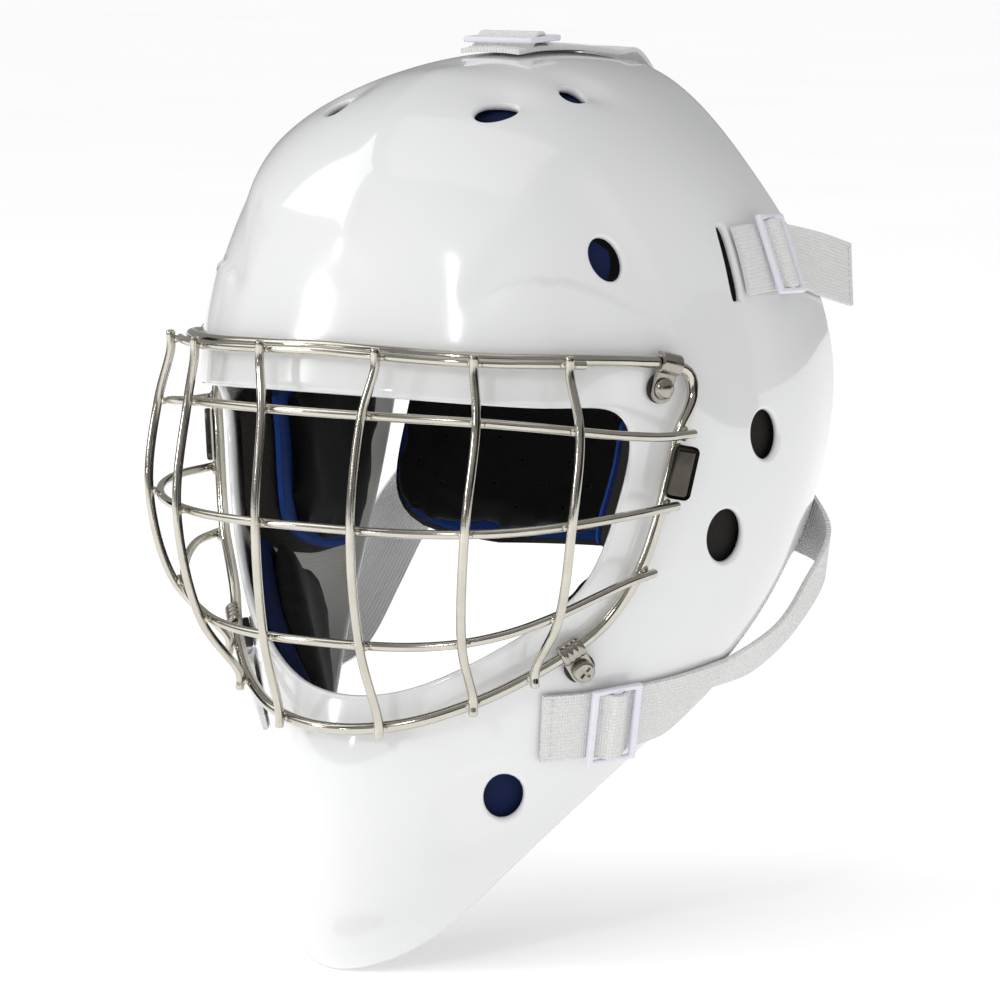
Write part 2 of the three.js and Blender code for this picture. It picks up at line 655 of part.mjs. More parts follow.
// Upper straps: inside the shell from the backplate, out through a slot, folded back through
// the slide, with a free tail past the shell's rear edge.
const upperLine = [[98, 12, 63], [97, 24, 63], [96, 36, 62.5], [94, 50, 61.5], [93, 60, 60]]
  .map(p => place(...p));
const upperSeeds = [[3.7, 3], [3.7, 3.4], [3.8, 3.7], [3.9, 4.2], [3.95, 4.7]];
const upperRay = v3(1, 0, 0.25).normalize();
const upperWay = upperLine[4].clone().sub(upperLine[0]).normalize();
const tailWay = upperWay.clone().add(v3(0.02, 0, -0.4)).normalize();
const tailUp = v3(1, 0.1, 0.25).normalize();
const tailRuns = [14, 46];
const upperTail = tailRuns.map(run => flatSection(
  upperLine[4].clone().addScaledVector(upperWay, run * 0.6).addScaledVector(tailWay, run * 0.4)
    .addScaledVector(tailUp, strapLift + 1), tailWay, tailUp));
const upperOuter = [
  ...upperLine.map((c, i) => skinSection(c, upperWay, upperRay, upperSeeds[i], strapLift)),
  ...upperTail,
];
const innerLine = [[93, 46, 58], [96, 20, 61]].map(p => place(...p));
const innerSeeds = [[3.9, 4.2], [3.7, 3.4]];
const insideLift = 1.5;
// Where an upper strap leaves the backplate's edge, inside the wall
const upperTurn = v3(88.2 * stretch.x - wall, 80 + backplateRear * (stretch.y - 1), 56 * stretch.z);
const upperInner = [
  plateSection(44, 50), plateSection(54, 51), plateSection(64, 52), plateSection(72, 53),
  plateSection(77.5, 53.5),
  flatSection(upperTurn, v3(0.25, -0.97, 0), v3(0.9, 0.25, 0.3)),
  ...innerLine.map((c, i) =>
    skinSection(c, upperWay.clone().negate(), upperRay, innerSeeds[i], insideLift, true)),
];
for (const [name, sign] of sides) {
  addStrap(`upper_strap_tail_${name}`, upperOuter, sign);
  addStrap(`upper_strap_${name}`, upperInner, sign);
  const spot = meet(upperLine[2], upperRay, upperSeeds[2]);
  addSlide(`upper_slide_${name}`, spot, upperWay, sign);
  const mouth = upperLine[0].clone().addScaledVector(upperWay, -slotLead);
  const passage = slot(meet(mouth, upperRay, upperSeeds[0]), upperWay);
  slotCutters.push(onSide(passage, sign));
}

// Top strap: from the backplate's top edge over the crown to a free end at the front
const topLine = [[0, 70, 134], [0, 52, 136], [0, 32, 136], [0, 14, 136], [0, -1, 135]]
  .map(p => place(...p));
const topWay = v3(0, -1, 0.02).normalize();
const topSeeds = [[0, 4.9], [0, 4.6], [0, 4.2], [0, 3.9], [0, 3.7]];
const upRay = v3(0, 0, 1);
const crownEdge = skin(0, lastRow);
const topSections = [
  ...[50, 58, 66, 74].map(z => plateSection(0, z, -Math.PI / 2)),
  flatSection(crownEdge.clone().add(v3(0, 20, -12)), v3(0, -0.7, 0.7), v3(0, 0.7, 0.7)),
  flatSection(crownEdge.clone().add(v3(0, 5, 1)), v3(0, -0.97, 0.25), v3(0, 0.25, 0.97)),
  ...topLine.map((c, i) => skinSection(c, topWay, upRay, topSeeds[i], strapLift)),
];
addStrap('top_strap', topSections, 1);
addSlide('top_slide', meet(topLine[3], upRay, topSeeds[3]), topWay, 1);

// ---- Shell ----

const shellAround = 2.5 * columns;
const shellAlong = 10;
const shellRings = spread(0, columns, shellAround).slice(0, -1).map(u => {
  const along = spread(0, lastRow, shellAlong);
  return [...along.map(v => skin(u, v)), ...along.map(v => offSkin(u, v, -wall)).reverse()];
});
add('shell', cut(loft(shellRings, true), [...ventCutters, ...slotCutters, ...screwHoles]),
  gelcoat);

// ---- Liner ----

// A pad follows the inside of the shell over a grid of the skin's lines, between two depths.
function pad(uLines, vLines, depthFrom, depthTo) {
  return loft(uLines.map(u => [...vLines.map(v => offSkin(u, v, -depthFrom)),
    ...vLines.map(v => offSkin(u, v, -depthTo)).reverse()]));
}
// Layers of one stack share their lines, so that their faces stay parallel. A stack on the
// left side is mirrored for the right one.
function stack(layers, uLines, vLines, paired) {
  let depth = wall + linerGap;
  for (const [name, thickness, material, firstLine = 0] of layers) {
    const layer = pad(uLines, vLines.slice(firstLine), depth, depth + thickness);
    if (paired) {
      for (const [side, sign] of sides) {
        add(`${name}_${side}`, onSide(layer.clone(), sign), material);
      }
    } else {
      add(name, layer, material);
    }
    depth += thickness + gap;
  }
}
stack([['brow_foam', foam.brow, blueFoam], ['brow_pad', comfortLayer.brow, blackLining]],
  spread(-3, 3, 12), spread(0.15, 2, 3), false);
stack([['crown_foam', foam.crown, blueFoam]], spread(-2.4, 2.4, 10), spread(2.9, 4.7, 3), false);
stack([['side_foam', foam.side, charcoalFoam], ['side_blue_layer', blueLayer, blueFoam],
  ['side_pad', comfortLayer.side, blackLining, 1]],
spread(4.85, 6.5, 6), spread(0.1, 4.02, 4), true);
stack([['jaw_foam', foam.jaw, blueFoam], ['jaw_pad', comfortLayer.jaw, blackLining]],
  spread(6.65, 9.1, 6), spread(0.1, 2.9, 4), true);

// ---- Backplate ----

// A bowed plate with a rounded outline; its layers share the bow at different depths.
const squareness = 5;
const endShare = 0.985;       // leaves the top and foot edges a little length
const backplateTaper = (backplateWidth - backplateTopWidth) / 4;
function bowed(inset, from, to, cuts = [9, 10]) {
  const tall = backplateHeight / 2 - inset;
  const rings = spread(-1, 1, cuts[0]).map(share => {
    const rounding = (1 - Math.abs(share * endShare) ** squareness) ** (1 / squareness);
    const z = backplateMiddle + share * tall;
    const wide = backplateWidth / 2 - inset - (share + 1) * backplateTaper;
    const lane = spread(-wide * rounding, wide * rounding, cuts[1]);
    return [...lane.map(x => v3(x, bowLine(x, z) - from, z)),
      ...lane.map(x => v3(x, bowLine(x, z) - to, z)).reverse()];
  });
  return loft(rings);
}
const layerInset = 3;
const foamFrom = backplateThickness + backplateGap;
const padFrom = foamFrom + backFoam + gap;
add('backplate', bowed(0, 0, backplateThickness), blackPlastic);
add('backplate_foam', bowed(layerInset, foamFrom, foamFrom + backFoam), blueFoam);
add('backplate_pad', bowed(layerInset, padFrom, padFrom + backPad), blackLining);

export default model;
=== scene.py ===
# Ice hockey goalie mask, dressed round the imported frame: moulded shell, welded wire cage, liner, backplate, harness.
import math
import random
import bpy
import numpy as np
from mathutils import Matrix, Vector


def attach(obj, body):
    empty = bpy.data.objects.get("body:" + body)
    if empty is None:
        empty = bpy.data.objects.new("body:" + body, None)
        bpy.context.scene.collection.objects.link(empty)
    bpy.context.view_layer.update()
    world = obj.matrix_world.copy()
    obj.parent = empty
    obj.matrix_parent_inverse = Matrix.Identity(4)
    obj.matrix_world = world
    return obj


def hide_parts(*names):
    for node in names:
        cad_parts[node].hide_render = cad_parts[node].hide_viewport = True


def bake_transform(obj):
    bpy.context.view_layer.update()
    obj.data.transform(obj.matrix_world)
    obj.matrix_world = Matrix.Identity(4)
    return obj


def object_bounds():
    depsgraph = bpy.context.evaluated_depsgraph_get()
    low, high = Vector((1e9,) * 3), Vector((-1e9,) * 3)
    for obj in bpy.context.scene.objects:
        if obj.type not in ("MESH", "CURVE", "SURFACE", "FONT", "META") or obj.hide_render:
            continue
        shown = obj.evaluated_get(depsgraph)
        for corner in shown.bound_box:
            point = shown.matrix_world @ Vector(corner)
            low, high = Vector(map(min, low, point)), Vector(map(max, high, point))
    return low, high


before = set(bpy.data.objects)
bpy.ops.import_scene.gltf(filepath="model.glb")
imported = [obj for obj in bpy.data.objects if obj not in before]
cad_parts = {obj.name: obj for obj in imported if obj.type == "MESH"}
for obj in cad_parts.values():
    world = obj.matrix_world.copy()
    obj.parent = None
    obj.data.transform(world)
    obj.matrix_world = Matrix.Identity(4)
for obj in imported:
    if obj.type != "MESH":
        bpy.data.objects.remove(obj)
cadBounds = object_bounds()
bpy.ops.object.select_all(action="DESELECT")
random.seed(7)
mm = 0.001            # shapes are worked out in millimetres, meshes are in metres
sides = {"left": 1, "right": -1}
print("frame loaded")


# ---- Camera, lights and floor ----

studio = {
    "cameraAt": (0.9949, -1.5294, 0.2152), "looksAlong": (-0.5391, 0.8318, -0.1325), "lens": 180,
    "worldSeen": 1.0, "worldLight": 0.62, "worldGloss": 0.3, "floorSize": 40, "floorDrop": 0.002, "floorGlow": 0.42,
    # azimuth from the front towards the wearer's left, elevation, distance, width, height, power
    "lamps": {
        "browSoftbox": (-41, 14, 2.6, 0.22, 0.30, 7),
        "templeSoftbox": (5, 26, 2.6, 0.14, 0.40, 6),
        "chinSoftbox": (-20, 8, 2.8, 0.12, 0.12, 1.5),
        "keyBank": (-62, 42, 2.6, 1.5, 1.5, 10),
        "topBank": (10, 80, 2.4, 1.8, 1.8, 4),
    },
    # dark boards, seen only in reflections: azimuth, elevation, distance, width, height
    "boards": [(-88, -4, 2.2, 0.9, 2.0), (98, -6, 2.1, 3.2, 1.5), (33, 2, 2.3, 0.8, 0.9), (-12, -34, 2.1, 2.4, 0.5),
               (-25, 34, 2.4, 0.25, 0.9)],
}


def linear(hexCode):
    channels = [int(hexCode[i:i + 2], 16) / 255 for i in (0, 2, 4)]
    return [c / 12.92 if c < 0.04045 else ((c + 0.055) / 1.055) ** 2.4 for c in channels] + [1]


def addNode(tree, kind, inputs=None, **settings):
    made = tree.nodes.new(kind)
    for name, value in settings.items():
        setattr(made, name, value)
    for name, value in (inputs or {}).items():
        if isinstance(value, bpy.types.NodeSocket):
            tree.links.new(value, made.inputs[name])
        else:
            made.inputs[name].default_value = value
    return made


def setCamera():
    camera = bpy.data.objects.new("camera", bpy.data.cameras.new("camera"))
    camera.data.lens = studio["lens"]
    camera.location = studio["cameraAt"]
    camera.rotation_euler = Vector(studio["looksAlong"]).to_track_quat("-Z", "Y").to_euler()
    bpy.context.scene.collection.objects.link(camera)
    bpy.context.scene.camera = camera
    bpy.context.scene.view_settings.view_transform = "Standard"


def standOff(azimuth, elevation, distance):
    a, e = math.radians(azimuth), math.radians(elevation)
    return Vector((math.sin(a) * math.cos(e), -math.cos(a) * math.cos(e), math.sin(e))) * distance


def setLights():
    world = bpy.data.worlds.new("studio")
    bpy.context.scene.world = world
    world.use_nodes = True
    tree = world.node_tree
    # a white sweep to the camera, a dimmer one to the object, so that its own tones are kept
    rays = addNode(tree, "ShaderNodeLightPath").outputs
    base = addNode(tree, "ShaderNodeMapRange", {"Value": rays["Is Glossy Ray"], "To Min": studio["worldLight"],
                                                "To Max": studio["worldGloss"]})
    strength = addNode(tree, "ShaderNodeMapRange", {"Value": rays["Is Camera Ray"], "To Min": base.outputs["Result"],
                                                    "To Max": studio["worldSeen"]})
    tree.nodes["Background"].inputs["Color"].default_value = (1, 1, 1, 1)
    tree.links.new(strength.outputs["Result"], tree.nodes["Background"].inputs["Strength"])
    for name, (azimuth, elevation, distance, width, height, power) in studio["lamps"].items():
        lamp = bpy.data.lights.new(name, "AREA")
        lamp.shape = "RECTANGLE"
        lamp.size, lamp.size_y, lamp.energy = width, height, power
        holder = bpy.data.objects.new(name, lamp)
        holder.location = standOff(azimuth, elevation, distance)
        holder.rotation_euler = (-holder.location).to_track_quat("-Z", "Y").to_euler()
        holder.visible_camera = False
        bpy.context.scene.collection.objects.link(holder)


def setBoards(boardPaint):
    for azimuth, elevation, distance, width, height in studio["boards"]:
        at = standOff(azimuth, elevation, distance)
        bpy.ops.mesh.primitive_plane_add(size=1, location=at, rotation=(-at).to_track_quat("-Z", "Y").to_euler())
        board = bpy.context.object
        board.name = "darkBoard"
        board.scale = (width, height, 1)
        board.data.materials.append(boardPaint)
        board.visible_camera = False
        board.visible_diffuse = False
        board.visible_shadow = False


def setFloor(floorPaint):
    level = cadBounds[0][2] - studio["floorDrop"]
    bpy.ops.mesh.primitive_plane_add(size=studio["floorSize"], location=(0, 0, level))
    floor = bpy.context.object
    floor.name = "floor"
    floor.data.materials.append(floorPaint)
    paintShader = floorPaint.node_tree.nodes["Principled BSDF"]
    paintShader.inputs["Emission Color"].default_value = (1, 1, 1, 1)
    paintShader.inputs["Emission Strength"].default_value = studio["floorGlow"]


# ---- Materials ----

def newMaterial(name, colour, roughness, **sockets):
    material = bpy.data.materials.new(name)
    material.use_nodes = True
    shader = material.node_tree.nodes["Principled BSDF"]
    shader.inputs["Base Color"].default_value = linear(colour)
    shader.inputs["Roughness"].default_value = roughness
    for socket, value in sockets.items():
        shader.inputs[socket].default_value = value
    return material, material.node_tree, shader


def objectPlace(tree, size=1.0, turn=(0, 0, 0)):
    place = addNode(tree, "ShaderNodeTexCoord")
    scaled = addNode(tree, "ShaderNodeMapping", {"Vector": place.outputs["Object"], "Rotation": turn})
    scaled.inputs["Scale"].default_value = (1 / (size * mm),) * 3
    return scaled.outputs["Vector"]


def mottle(tree, shader, size, colours, roughnesses):
    noise = addNode(tree, "ShaderNodeTexNoise", {"Vector": objectPlace(tree, size), "Scale": 1, "Detail": 4})
    tint = addNode(tree, "ShaderNodeMix", {"Factor": noise.outputs["Fac"]}, data_type="RGBA")
    tint.inputs["A"].default_value = linear(colours[0])
    tint.inputs["B"].default_value = linear(colours[1])
    tree.links.new(tint.outputs["Result"], shader.inputs["Base Color"])
    rough = addNode(tree, "ShaderNodeMapRange", {"Value": noise.outputs["Fac"], "From Min": 0.3, "From Max": 0.7,
                                                 "To Min": roughnesses[0], "To Max": roughnesses[1]})
    tree.links.new(rough.outputs["Result"], shader.inputs["Roughness"])


def bumpFrom(tree, shader, height, depth, strength=1.0):
    bump = addNode(tree, "ShaderNodeBump", {"Height": height, "Distance": depth * mm, "Strength": strength})
    tree.links.new(bump.outputs["Normal"], shader.inputs["Normal"])


def noiseAt(tree, size, detail=2, turn=(0, 0, 0)):
    return addNode(tree, "ShaderNodeTexNoise", {"Vector": objectPlace(tree, size, turn), "Scale": 1,
                                                "Detail": detail}).outputs["Fac"]


def gelcoat():
    # polyester gelcoat out of a polished mould: clear gloss over white, with a faint long-wave orange peel
    material, tree, shader = newMaterial("moulded_polyester_gelcoat", "EDEDEE", 0.12, IOR=1.53)
    shader.inputs["Coat Weight"].default_value = 1.0
    shader.inputs["Coat Roughness"].default_value = 0.015
    mottle(tree, shader, 45, ("E9EBEB", "EEEDEE"), (0.10, 0.18))
    bumpFrom(tree, shader, noiseAt(tree, 9), 0.03, 0.3)
    return material


def laminate():
    # inside of the lay-up: white flow coat brushed over woven glass, so the cloth's weave shows through dull
    material, tree, shader = newMaterial("flow_coated_glass_laminate", "DEDDD6", 0.5)
    mottle(tree, shader, 18, ("D6D5CD", "E4E3DD"), (0.42, 0.62))
    warp = addNode(tree, "ShaderNodeTexWave", {"Vector": objectPlace(tree, 2.4), "Scale": 0.5, "Distortion": 0.6},
                   bands_direction="Z")
    weft = addNode(tree, "ShaderNodeTexWave", {"Vector": objectPlace(tree, 2.4), "Scale": 0.5, "Distortion": 0.6},
                   bands_direction="Y")
    weave = addNode(tree, "ShaderNodeMath", {0: warp.outputs["Fac"], 1: weft.outputs["Fac"]}, operation="MAXIMUM")
    bumpFrom(tree, shader, weave.outputs["Value"], 0.12, 0.6)
    return material


def platedWire():
    # nickel-chrome plate on drawn steel wire: warm mirror, slightly pitted, with haze where it was racked
    material, tree, shader = newMaterial("nickel_chromed_steel_wire", "D2CEC4", 0.12, Metallic=1.0)
    mottle(tree, shader, 9, ("D6D3CA", "BEB8AA"), (0.06, 0.2))
    bumpFrom(tree, shader, noiseAt(tree, 1.1, 3), 0.04, 0.5)
    return material


def zincedSteel():
    # pressed and turned steel, barrel plated: duller and greyer than the wire, with fine tumbling marks
    material, tree, shader = newMaterial("barrel_plated_steel", "B4B0A7", 0.24, Metallic=1.0)
    mottle(tree, shader, 4, ("BDB9B0", "A19C92"), (0.16, 0.34))
    bumpFrom(tree, shader, noiseAt(tree, 0.6, 4), 0.03, 0.5)
    return material


def darkReflectionStrip():
    # rolled, plated steel strip, coloured a dark brown-grey half mirror as painted dark reflection, with faint rolling
    # marks
    material, tree, shader = newMaterial("black_nickel_plated_strip", "5A564F", 0.2, Metallic=1.0)
    mottle(tree, shader, 5, ("5F5B53", "4A4741"), (0.14, 0.28))
    bumpFrom(tree, shader, noiseAt(tree, 0.7, 3), 0.03, 0.5)
    return material


def moulded(name, colours, roughnesses, grain, depth, **sockets):
    material, tree, shader = newMaterial(name, colours[0], roughnesses[0], **sockets)
    mottle(tree, shader, grain * 9, colours, roughnesses)
    bumpFrom(tree, shader, noiseAt(tree, grain, 3), depth, 0.7)
    return material


def washerRubber():
    # moulded EPDM: black with a dry bloom
    return moulded("moulded_epdm_rubber", ("161514", "242220"), (0.55, 0.75), 0.5, 0.05, IOR=1.52)


def closedCell(name, colours, cell):
    # skived closed-cell foam: opened cells on the cut face scatter the light, so it has no gloss
    material, tree, shader = newMaterial(name, colours[0], 0.9)
    shader.inputs["Specular IOR Level"].default_value = 0.25
    mottle(tree, shader, 12, colours, (0.82, 0.96))
    cells = addNode(tree, "ShaderNodeTexVoronoi", {"Vector": objectPlace(tree, cell), "Scale": 1})
    bumpFrom(tree, shader, cells.outputs["Distance"], 0.25, 0.8)
    return material


def brushedLining(name="brushed_polyester_lining", holes=None):
    # brushed knit bonded over foam: black with a soft sheen, punched with small breathing holes on the backplate
    material, tree, shader = newMaterial(name, "0F0F12", 0.85)
    shader.inputs["Sheen Weight"].default_value = 0.06
    shader.inputs["Sheen Roughness"].default_value = 0.5
    shader.inputs["Specular IOR Level"].default_value = 0.2
    mottle(tree, shader, 25, ("0C0C0E", "141416"), (0.75, 0.92))
    nap = noiseAt(tree, 0.9, 3)
    if holes is None:
        bumpFrom(tree, shader, nap, 0.15, 0.6)
        return material
    # one hole per cell of a square lattice turned 45 degrees, so the rows stand staggered
    lattice = addNode(tree, "ShaderNodeTexVoronoi", {
        "Vector": objectPlace(tree, holes["pitch"], (0, math.radians(45), 0)), "Scale": 1, "Randomness": 0},
        voronoi_dimensions="2D")
    flat = addNode(tree, "ShaderNodeSeparateXYZ", {"Vector": objectPlace(tree, holes["pitch"],
                                                                         (0, math.radians(45), 0))})
    across = addNode(tree, "ShaderNodeCombineXYZ", {"X": flat.outputs["X"], "Y": flat.outputs["Z"]})
    tree.links.new(across.outputs["Vector"], lattice.inputs["Vector"])
    edge = holes["radius"] / holes["pitch"]
    punched = addNode(tree, "ShaderNodeMapRange", {"Value": lattice.outputs["Distance"], "From Min": edge * 0.7,
                                                   "From Max": edge})
    height = addNode(tree, "ShaderNodeMath", {0: punched.outputs["Result"], 1: 4.0, 2: nap},
                     operation="MULTIPLY_ADD")
    bumpFrom(tree, shader, height.outputs["Value"], 0.3, 0.9)
    # the insides of the holes are painted near black as painted shade in the holes
    cover = shader.inputs["Base Color"].links[0].from_socket
    dark = addNode(tree, "ShaderNodeMix", {"Factor": punched.outputs["Result"]}, data_type="RGBA")
    dark.inputs["A"].default_value = linear("020203")
    tree.links.new(cover, dark.inputs["B"])
    tree.links.new(dark.outputs["Result"], shader.inputs["Base Color"])
    return material


def backplatePlastic():
    # injection-moulded polyethylene: black, waxy gloss over a fine spark-eroded grain
    return moulded("moulded_black_polyethylene", ("121214", "1A1A1C"), (0.22, 0.36), 0.8, 0.05, IOR=1.5)


def slidePlastic():
    # natural nylon: milky, a little light passes through the bars
    return moulded("natural_nylon", ("E6E4F0", "EFEDF6"), (0.28, 0.42), 0.7, 0.03, IOR=1.53,
                   **{"Subsurface Weight": 0.35, "Subsurface Radius": (0.002, 0.002, 0.002)})


def knitElastic():
    # raschel-knit elastic: white polyester ribs along the band, rubber lays across them every 1.2 mm
    material, tree, shader = newMaterial("raschel_knit_elastic", "EEEEEE", 0.88)
    shader.inputs["Sheen Weight"].default_value = 0.3
    uv = addNode(tree, "ShaderNodeUVMap", uv_map="band")
    scaled = addNode(tree, "ShaderNodeMapping", {"Vector": uv.outputs["UV"]})
    scaled.inputs["Scale"].default_value = (1000, 1000, 1000)      # one unit per millimetre
    ribs = addNode(tree, "ShaderNodeTexWave", {"Vector": scaled.outputs["Vector"], "Scale": 0.23, "Distortion": 0.5,
                                               "Detail": 1}, bands_direction="X")
    lays = addNode(tree, "ShaderNodeTexWave", {"Vector": scaled.outputs["Vector"], "Scale": 0.30, "Distortion": 2.2,
                                               "Detail": 1, "Detail Scale": 1.5}, bands_direction="Y")
    knit = addNode(tree, "ShaderNodeMath", {0: ribs.outputs["Fac"], 1: lays.outputs["Fac"]}, operation="MULTIPLY")
    fuzz = addNode(tree, "ShaderNodeTexNoise", {"Vector": scaled.outputs["Vector"], "Scale": 1.4, "Detail": 3})
    height = addNode(tree, "ShaderNodeMath", {0: knit.outputs["Value"], 1: 1.6, 2: fuzz.outputs["Fac"]},
                     operation="MULTIPLY_ADD")
    bumpFrom(tree, shader, height.outputs["Value"], 0.22, 0.9)
    # the colour follows the knit's height: its hollows are painted darker as painted shade
    tint = addNode(tree, "ShaderNodeMix", {"Factor": height.outputs["Value"]}, data_type="RGBA")
    tint.inputs["A"].default_value = linear("C6C6C4")
    tint.inputs["B"].default_value = linear("F2F2F1")
    tree.links.new(tint.outputs["Result"], shader.inputs["Base Color"])
    return material


def stitchThread():
    # bonded polyester thread
    return moulded("bonded_polyester_thread", ("D5D5D4", "E6E6E5"), (0.5, 0.65), 0.3, 0.05)


def matt(name, colours, grain):
    material, tree, shader = newMaterial(name, colours[0], 0.8)
    mottle(tree, shader, grain, colours, (0.7, 0.85))
    return material


paint = {
    "gelcoat": gelcoat(), "laminate": laminate(), "wire": platedWire(), "steel": zincedSteel(),
    "strip": darkReflectionStrip(), "rubber": washerRubber(),
    "charcoal": closedCell("skived_charcoal_vinyl_nitrile_foam", ("232120", "2E2B29"), 1.0),
    "blue": closedCell("skived_blue_eva_foam", ("143472", "1B428C"), 0.8),
    # the same blue foam as the side layer, made darker as painted shade for the foam deep inside the shell
    "navy": closedCell("skived_navy_eva_foam", ("0C1838", "12224E"), 0.8),
    "lining": brushedLining(), "punched": brushedLining("punched_brushed_lining", {"pitch": 12.5, "radius": 1.1}),
    "backplate": backplatePlastic(), "slide": slidePlastic(), "elastic": knitElastic(), "thread": stitchThread(),
}
setCamera()
setLights()
setFloor(matt("white_studio_floor", ("F4F4F4", "F8F8F8"), 300))
setBoards(matt("black_felt_board", ("0C0C0C", "121212"), 60))
print("studio and materials ready")


# ---- Small tools ----

def unit(vectors):
    vectors = np.asarray(vectors, float)
    return vectors / np.maximum(np.linalg.norm(vectors, axis=-1, keepdims=True), 1e-12)


def ease(t):
    t = np.clip(t, 0, 1)
    return t * t * (3 - 2 * t)


def flip(points, side):
    return np.asarray(points, float) * (side, 1, 1)


def frameAt(origin, up, forward):
    # axes in the columns: z along up, y as near as possible to forward
    z = unit(up)
    x = unit(np.cross(forward, z))
    matrix = np.eye(4)
    matrix[:3, 0], matrix[:3, 1], matrix[:3, 2], matrix[:3, 3] = x, np.cross(z, x), z, origin
    return matrix


def placed(points, matrix):
    return np.asarray(points, float) @ matrix[:3, :3].T + matrix[:3, 3]


def only(piece):
    bpy.ops.object.select_all(action="DESELECT")
    piece.select_set(True)
    bpy.context.view_layer.objects.active = piece


def outwardFaces(piece):
    only(piece)
    bpy.ops.object.mode_set(mode="EDIT")
    bpy.ops.mesh.select_all(action="SELECT")
    bpy.ops.mesh.normals_make_consistent(inside=False)
    bpy.ops.object.mode_set(mode="OBJECT")


def meshPiece(name, points, faces, *materials):
    mesh = bpy.data.meshes.new(name)
    mesh.from_pydata((np.asarray(points, float) * mm).tolist(), [], [list(map(int, f)) for f in faces])
    piece = bpy.data.objects.new(name, mesh)
    bpy.context.scene.collection.objects.link(piece)
    for material in materials:
        mesh.materials.append(material)
    outwardFaces(piece)
    mesh.shade_smooth()
    return piece


def applied(piece, kind, **settings):
    modifier = piece.modifiers.new(kind.lower(), kind)
    for name, value in settings.items():
        setattr(modifier, name, value)
    only(piece)
    bpy.ops.object.modifier_apply(modifier=modifier.name)
    return piece


def crisp(piece, degrees=35):
    only(piece)
    bpy.ops.object.shade_smooth_by_angle(angle=math.radians(degrees))
    return piece


def joined(name, pieces):
    bpy.ops.object.select_all(action="DESELECT")
    for piece in pieces:
        piece.select_set(True)
    bpy.context.view_layer.objects.active = pieces[0]
    bpy.ops.object.join()
    pieces[0].name = name
    return pieces[0]


def mirrored(piece, name):
    twin = piece.copy()
    twin.data = piece.data.copy()
    twin.name = name
    bpy.context.scene.collection.objects.link(twin)
    twin.data.transform(Matrix.Scale(-1, 4, (1, 0, 0)))
    twin.data.flip_normals()
    return twin


def finished(piece, finish, body, *nodes):
    if finish not in [m.name for m in piece.data.materials] and not piece.data.materials:
        piece.data.materials.append(paint[finish])
    if body:
        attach(piece, body)
    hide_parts(*nodes)
    return piece


def loftFaces(rings, around, closed=False, firstRing=0):
    faces = []
    for i in range(rings if closed else rings - 1):
        a, b = (firstRing + i) * around, (firstRing + (i + 1) % rings) * around
        faces += [(a + j, a + (j + 1) % around, b + (j + 1) % around, b + j) for j in range(around)]
    return faces


def curveThrough(points, count, closed=False):
    # centripetal Catmull-Rom curve, cut into equal lengths
    points = np.asarray(points, float)
    if closed:
        reach = np.vstack([points[-1:], points, points[:2]])
    else:
        reach = np.vstack([2 * points[:1] - points[1:2], points, 2 * points[-1:] - points[-2:-1]])
    t = np.linspace(0, 1, 24, endpoint=False)[:, None]
    runs = []
    for p0, p1, p2, p3 in zip(reach, reach[1:], reach[2:], reach[3:]):
        d0, d1, d2 = (max(np.linalg.norm(b - a), 1e-4) ** 0.5 for a, b in ((p0, p1), (p1, p2), (p2, p3)))
        m1 = ((p1 - p0) / d0 - (p2 - p0) / (d0 + d1) + (p2 - p1) / d1) * d1
        m2 = ((p2 - p1) / d1 - (p3 - p1) / (d1 + d2) + (p3 - p2) / d2) * d1
        runs.append((2 * t ** 3 - 3 * t ** 2 + 1) * p1 + (t ** 3 - 2 * t ** 2 + t) * m1
                    + (-2 * t ** 3 + 3 * t ** 2) * p2 + (t ** 3 - t ** 2) * m2)
    dense = np.vstack(runs + [points[:1] if closed else points[-1:]])
    length = np.concatenate([[0], np.cumsum(np.linalg.norm(np.diff(dense, axis=0), axis=1))])
    at = np.linspace(0, length[-1], count + 1)
    even = np.stack([np.interp(at, length, dense[:, k]) for k in range(dense.shape[1])], 1)
    return even[:-1] if closed else even


# A wire is a round bar along a path, with its cut ends ground to a dome.
def wirePiece(name, path, diameter, closed=False, around=16):
    path = np.asarray(path, float)
    count, radius = len(path), diameter / 2
    ahead = unit(np.roll(path, -1, 0) - np.roll(path, 1, 0) if closed else np.gradient(path, axis=0))
    normal = unit(np.cross(ahead[0], (0.3, 0.2, 0.9)))
    normals = []
    for way in ahead:
        normal = unit(normal - way * np.dot(normal, way))
        normals.append(normal)
    normals = np.array(normals)
    if closed:
        # the twist left at the join is shared out along the ring
        back = unit(normals[-1] - ahead[0] * np.dot(normals[-1], ahead[0]))
        twist = math.atan2(np.dot(np.cross(back, normals[0]), ahead[0]), np.dot(back, normals[0]))
        turns = twist * np.arange(count)[:, None] / count
        normals = normals * np.cos(turns) + np.cross(ahead, normals) * np.sin(turns)
    sideways = np.cross(ahead, normals)
    angles = np.linspace(0, 2 * math.pi, around, endpoint=False)
    ring = lambda i, r, shift: (path[i] + shift + r * (np.cos(angles)[:, None] * normals[i]
                                                       + np.sin(angles)[:, None] * sideways[i]))
    rings = [ring(i, radius, 0) for i in range(count)]
    if closed:
        return meshPiece(name, np.vstack(rings), loftFaces(count, around, True))
    dome = [math.radians(a) for a in (68, 46, 24)]
    rings = [ring(0, radius * math.cos(a), -ahead[0] * radius * 0.55 * math.sin(a)) for a in dome] + rings
    rings += [ring(-1, radius * math.cos(a), ahead[-1] * radius * 0.55 * math.sin(a)) for a in reversed(dome)]
    points = np.vstack(rings)
    ends = [tuple(range(around)), tuple(range(len(points) - around, len(points)))]
    return meshPiece(name, points, loftFaces(len(rings), around) + ends)


# ---- The shell's skin ----

shell = {"wall": 3.2, "around": 288, "along": 92, "rim": 5}

